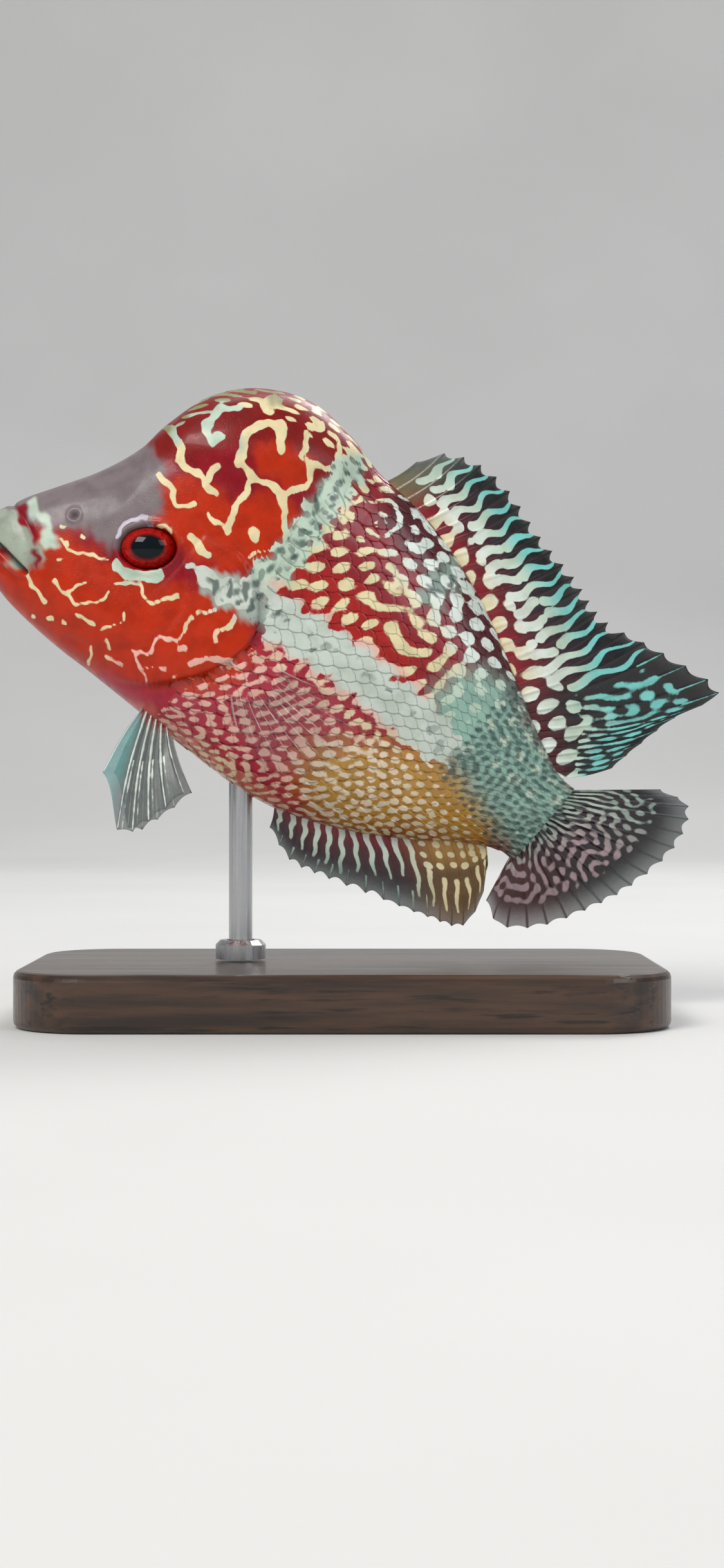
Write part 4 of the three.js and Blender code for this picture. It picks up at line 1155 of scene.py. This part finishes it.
def eye(side):
    """An eyeball under a clear wet surface, with a red iris round an oval pupil."""
    name = "eyeball_left" if side < 0 else "eyeball_right"
    low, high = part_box("eye_left" if side < 0 else "eye_right")
    middle = (low + high) / 2
    surface = (high.y if side > 0 else low.y) - side * 0.1 * MM
    depth = abs(surface - middle.y)
    rings, steps = 64, 96
    turn = np.linspace(0, 2 * math.pi, steps, endpoint=False)
    tilt = np.linspace(0, math.pi, rings + 1)[1:-1]
    tilts, turns = np.meshgrid(tilt, turn, indexing="ij")
    along = np.sin(tilts) * np.cos(turns)
    across = np.sin(tilts) * np.sin(turns)
    outward = np.cos(tilts)
    vertices = np.stack([along, outward, across], axis=-1).reshape(-1, 3)
    vertices = np.concatenate([vertices, [(0, 1, 0), (0, -1, 0)]])
    scaled = vertices * (EYE_HALF[0] * MM, side * depth, EYE_HALF[1] * MM)
    made = mesh_object(name, scaled + np.array(middle), shell_faces(len(tilt), steps))
    if side > 0:
        made.data.flip_normals()
    off_axis = np.hypot(vertices[:, 0] / 0.55, vertices[:, 2] / 0.5)
    radius = np.hypot(vertices[:, 0], vertices[:, 2])
    behind = vertices[:, 1] < 0
    iris = blended([(0.54, "maroon"), (0.66, "scarlet"), (0.88, "scarlet"), (1.0, "black")], radius)
    set_colours(made.data, "ground", np.where(behind[:, None], colour("black"), iris))
    set_floats(made.data, "pupil", (off_axis - 1) * 2.0)
    return made


# Materials

class Shader:
    """A material's node tree with short ways to add what the finishes need."""

    def __init__(self, name):
        self.material = bpy.data.materials.new(name)
        self.material.use_nodes = True
        self.tree = self.material.node_tree
        self.surface = self.tree.nodes["Principled BSDF"]

    def add(self, kind, inputs, output, **options):
        return add_node(self.tree, kind, inputs, output, **options)

    def finish(self, **values):
        """Feeds the surface's inputs, whose names have a low line for each space."""
        for name, value in values.items():
            feed(self.tree, value, self.surface.inputs[name.replace("_", " ")])

    def attribute(self, name, output="Fac"):
        return self.add("ShaderNodeAttribute", {}, output, attribute_name=name)

    def place(self):
        return self.add("ShaderNodeTexCoord", {}, "Object")

    def noise(self, scale, detail=4.0, roughness=0.55, stretch=(1, 1, 1)):
        place = self.add("ShaderNodeMapping", {"Vector": self.place(), "Scale": stretch}, "Vector")
        inputs = {"Vector": place, "Scale": scale, "Detail": detail, "Roughness": roughness}
        return self.add("ShaderNodeTexNoise", inputs, "Fac")

    def cells(self, scale):
        return self.add("ShaderNodeTexVoronoi", {"Vector": self.place(), "Scale": scale}, "Distance")

    def maths(self, operation, *values):
        return self.add("ShaderNodeMath", dict(enumerate(values)), 0, operation=operation)

    def mapped(self, value, low, high, to_low=0.0, to_high=1.0):
        inputs = {"Value": value, "From Min": low, "From Max": high, "To Min": to_low, "To Max": to_high}
        return self.add("ShaderNodeMapRange", inputs, "Result", interpolation_type="SMOOTHSTEP")

    def between(self, pattern, low, high):
        """The usual range of a noise pattern, spread from low to high."""
        return self.mapped(pattern, 0.3, 0.7, low, high)

    def mixed(self, share, first, second, how="MIX"):
        inputs = {0: share, 6: first, 7: second}
        return self.add("ShaderNodeMix", inputs, 2, data_type="RGBA", blend_type=how)

    def mottled(self, name, scale, amount, tint):
        """A colour attribute with soft cloudy patches, multiplied by the tint."""
        plain = self.attribute(name, "Color")
        patches = self.mapped(self.noise(scale, 5.0), 0.35, 0.7, 0.0, amount)
        return self.mixed(patches, plain, self.mixed(1.0, plain, tint, "MULTIPLY"))

    def bump(self, height, strength, distance):
        inputs = {"Height": height, "Strength": strength, "Distance": distance}
        self.finish(Normal=self.add("ShaderNodeBump", inputs, "Normal"))


def rgba(name):
    return tuple(colour(name)) + (1.0,)


def marked_colour(shader, waver):
    """The ground colour with its marks, whose edges waver, and the distance to the pale ones."""
    slow = shader.maths("MULTIPLY_ADD", shader.noise(480.0, 2.0), waver * 1.6, -waver * 0.8)
    shift = shader.maths("MULTIPLY_ADD", shader.noise(1500.0, 3.0), waver, slow)
    shift = shader.maths("ADD", shift, -waver / 2)
    pale = shader.maths("ADD", shader.attribute("pale"), shift)
    dark = shader.maths("ADD", shader.attribute("dark"), shift)
    ground = shader.mottled("ground", 420.0, 0.4, (0.45, 0.4, 0.45, 1.0))
    mark = shader.mottled("mark", 360.0, 0.55, (0.62, 0.64, 0.6, 1.0))
    base = shader.mixed(shader.mapped(pale, MARK_EDGE, -MARK_EDGE), ground, mark)
    # Dark teal over the dark flecks and over the painted shade line along the mouth
    flecks = shader.mapped(dark, MARK_EDGE * 2.0, -MARK_EDGE * 2.0, 0.0, 0.76)
    return shader.mixed(flecks, base, rgba("dark teal")), pale


def skin_material():
    """Moist skin, satin under a thin wet coat, with fine pores."""
    shader = Shader("moist_skin")
    base, pale = marked_colour(shader, 0.12)
    shader.finish(
        Base_Color=base, Roughness=shader.between(shader.noise(900.0), 0.3, 0.46), Specular_IOR_Level=0.2,
        Coat_Weight=0.15, Coat_Roughness=0.12, Subsurface_Weight=0.08, Subsurface_Scale=0.0012,
    )
    pores = shader.mapped(shader.cells(2300.0), 0.0, 0.35)
    fine = shader.maths("MULTIPLY_ADD", shader.noise(2600.0, 6.0), 0.5, pores)
    shader.bump(shader.maths("MULTIPLY_ADD", shader.mapped(pale, 0.1, -0.1), 0.5, fine), 0.35, 0.00006)
    return shader.material


def scale_material():
    shader = Shader("pearled_scales")
    base, pale = marked_colour(shader, 0.24)
    shader.finish(
        Base_Color=base, Roughness=shader.between(shader.noise(1200.0), 0.24, 0.42), Specular_IOR_Level=0.4,
        Coat_Weight=0.3, Coat_Roughness=0.1, Subsurface_Weight=0.05, Subsurface_Scale=0.0008,
    )
    fine = shader.maths("MULTIPLY_ADD", shader.mapped(pale, 0.1, -0.1), 0.6, shader.noise(3200.0, 5.0))
    shader.bump(fine, 0.3, 0.00005)
    return shader.material


def fin_material(name, roughness, mark_cover):
    """A fin's membrane, see-through where its clear attribute is low and no pale mark covers it."""
    shader = Shader(name)
    base, pale = marked_colour(shader, 0.2)
    marks = shader.mapped(pale, 0.05, -0.05, 0.0, mark_cover)
    solid = shader.maths("MAXIMUM", shader.attribute("clear"), marks)
    shader.finish(
        Base_Color=base, Roughness=shader.between(shader.noise(1400.0), roughness, roughness + 0.16),
        Alpha=shader.maths("MINIMUM", solid, 1.0), Coat_Weight=0.25, Coat_Roughness=0.15,
    )
    shader.bump(shader.noise(2600.0, 5.0, 0.6), 0.25, 0.00005)
    return shader.material


def eye_material():
    shader = Shader("wet_eye")
    streaks = shader.noise(2400.0, 3.0)
    ground = shader.attribute("ground", "Color")
    shaded = shader.mixed(1.0, ground, (0.25, 0.2, 0.2, 1.0), "MULTIPLY")
    iris = shader.mixed(shader.mapped(streaks, 0.4, 0.7, 0.0, 0.6), ground, shaded)
    pupil = shader.mapped(shader.attribute("pupil"), 0.12, -0.08)
    shader.finish(
        Base_Color=shader.mixed(pupil, iris, (0.003, 0.006, 0.008, 1.0)),
        Roughness=shader.between(streaks, 0.08, 0.14), Specular_IOR_Level=0.05,
        Coat_Weight=0.3, Coat_Roughness=0.02,
    )
    shader.bump(streaks, 0.05, 0.00005)
    return shader.material


def wood_material():
    shader = Shader("dark_walnut")
    grain = shader.noise(55.0, 8.0, 0.62, (0.6, 9.0, 9.0))
    pores = shader.noise(900.0, 4.0, 0.6, (0.08, 1.0, 1.0))
    deep, light = (0.019, 0.0085, 0.0045, 1.0), (0.075, 0.034, 0.016, 1.0)
    tone = shader.mixed(shader.mapped(grain, 0.32, 0.68), deep, light)
    dark = shader.mapped(pores, 0.56, 0.7)
    shader.finish(
        Base_Color=shader.mixed(dark, tone, (0.008, 0.004, 0.002, 1.0)),
        Roughness=shader.between(grain, 0.28, 0.42), Coat_Weight=0.3, Coat_Roughness=0.15,
    )
    shader.bump(shader.maths("SUBTRACT", grain, dark), 0.25, 0.0002)
    return shader.material


def steel_material():
    shader = Shader("brushed_steel")
    lines = shader.noise(3200.0, 3.0, 0.5, (1.0, 1.0, 0.03))
    tone = shader.mixed(lines, (0.46, 0.46, 0.47, 1.0), (0.66, 0.66, 0.67, 1.0))
    shader.finish(Base_Color=tone, Roughness=shader.between(lines, 0.22, 0.36), Metallic=1.0)
    shader.bump(lines, 0.15, 0.00003)
    return shader.material


def paper_material():
    shader = Shader("pale_backdrop")
    patches = shader.between(shader.noise(6.0, 3.0), 0.0, 1.0)
    tone = shader.mixed(patches, (0.66, 0.655, 0.64, 1.0), (0.7, 0.695, 0.68, 1.0))
    shader.finish(Base_Color=tone, Roughness=0.9)
    shader.bump(shader.noise(400.0, 4.0), 0.1, 0.0005)
    return shader.material


# Pieces of the fish

def put(piece, material, slot, *nodes):
    if piece.data.materials:
        piece.data.materials[0] = material
    else:
        piece.data.materials.append(material)
    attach(piece, "root")
    if nodes:
        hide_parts(*nodes)


def build_fish():
    """Makes every piece of the fish and puts it in the place of its nodes."""
    skin = body_skin()
    scaled = scale_material()
    coats = [scales(side, skin, scaled) for side in (-1, 1)]
    put(skin, skin_material(), "skin", *FLESH_NODES)
    for coat in coats:
        put(coat, scaled, "skin")
    dark = fin_material("smoky_fin", 0.26, 0.96)
    clear = fin_material("clear_fin", 0.22, 0.92)
    faint = fin_material("glassy_fin", 0.2, 0.26)
    put(dorsal_fin(), dark, "fin", "dorsal_fin")
    put(anal_fin(), dark, "fin", "anal_fin")
    put(caudal_fin(), dark, "fin", "caudal_fin")
    wet = eye_material()
    for side, word in ((-1, "left"), (1, "right")):
        put(paired_fin("pectoral", side), faint, "clear_fin", f"pectoral_fin_{word}")
        put(paired_fin("pelvic", side), clear, "clear_fin", f"pelvic_fin_{word}")
        put(eye(side), wet, "eye", f"eye_{word}")


def finish_stand():
    steel = steel_material()
    for node, material in (("stand_base", wood_material()), ("stand_rod", steel), ("stand_collar", steel)):
        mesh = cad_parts[node].data
        mesh.materials.clear()
        mesh.materials.append(material)


# Stage, camera and lights

def camera():
    centre_x = ORIGIN[0] + (PHOTO_SIZE[0] / 2 - SNOUT_PIXEL[0]) / PIXELS_PER_MM
    centre_z = ORIGIN[1] - (PHOTO_SIZE[1] / 2 - SNOUT_PIXEL[1]) / PIXELS_PER_MM
    data = bpy.data.cameras.new("camera")
    data.sensor_width = SENSOR
    data.lens = SENSOR * CAMERA_DISTANCE / (PHOTO_SIZE[1] / PIXELS_PER_MM)
    data.clip_start = 0.01
    made = bpy.data.objects.new("camera", data)
    made.location = (centre_x * MM, -CAMERA_DISTANCE * MM, centre_z * MM)
    made.rotation_euler = (math.pi / 2, 0, 0)
    bpy.context.scene.collection.objects.link(made)
    bpy.context.scene.camera = made


def stage():
    """A pale floor that curves up into a backdrop."""
    width, front, back, top, bend_radius = 3.5, -4.0, 1.15, 2.6, 0.55
    profile = [(front, 0.0), (back - bend_radius, 0.0)]
    steps = 16
    for i in range(1, steps + 1):
        turn = math.pi / 2 * i / steps
        y = back - bend_radius * (1 - math.sin(turn))
        profile.append((y, bend_radius * (1 - math.cos(turn))))
    profile.append((back, top))
    vertices = [(side * width, y, z) for y, z in profile for side in (-1, 1)]
    faces = [(2 * i, 2 * i + 1, 2 * i + 3, 2 * i + 2) for i in range(len(profile) - 1)]
    floor = mesh_object("stage_floor", vertices, faces)
    floor.data.materials.append(paper_material())


def area_light(name, place, target, size, power, tint=(1, 1, 1)):
    data = bpy.data.lights.new(name, "AREA")
    data.size = size
    data.energy = power
    data.color = tint
    made = bpy.data.objects.new(name, data)
    made.location = place
    made.rotation_euler = (Vector(target) - Vector(place)).to_track_quat("-Z", "Y").to_euler()
    bpy.context.scene.collection.objects.link(made)


def lights():
    bpy.context.scene.view_settings.view_transform = "Standard"
    world = bpy.data.worlds.new("studio")
    world.use_nodes = True
    world.node_tree.nodes["Background"].inputs["Color"].default_value = (0.9, 0.94, 1.0, 1.0)
    world.node_tree.nodes["Background"].inputs["Strength"].default_value = 0.34
    bpy.context.scene.world = world
    target = (0, 0, 0.05)
    area_light("key_light", (-0.35, -0.5, 0.6), target, 0.35, 4.4, (1.0, 0.97, 0.93))
    area_light("fill_light", (0.6, -0.55, 0.5), target, 0.45, 1.8, (0.92, 0.96, 1.0))
    area_light("rim_light", (0.25, 0.4, 0.55), target, 0.3, 2.2)
    area_light("backdrop_light", (0.0, 0.55, 1.5), (0, 1.15, 0.5), 0.8, 5.0)


camera()
build_fish()
finish_stand()
stage()
lights()
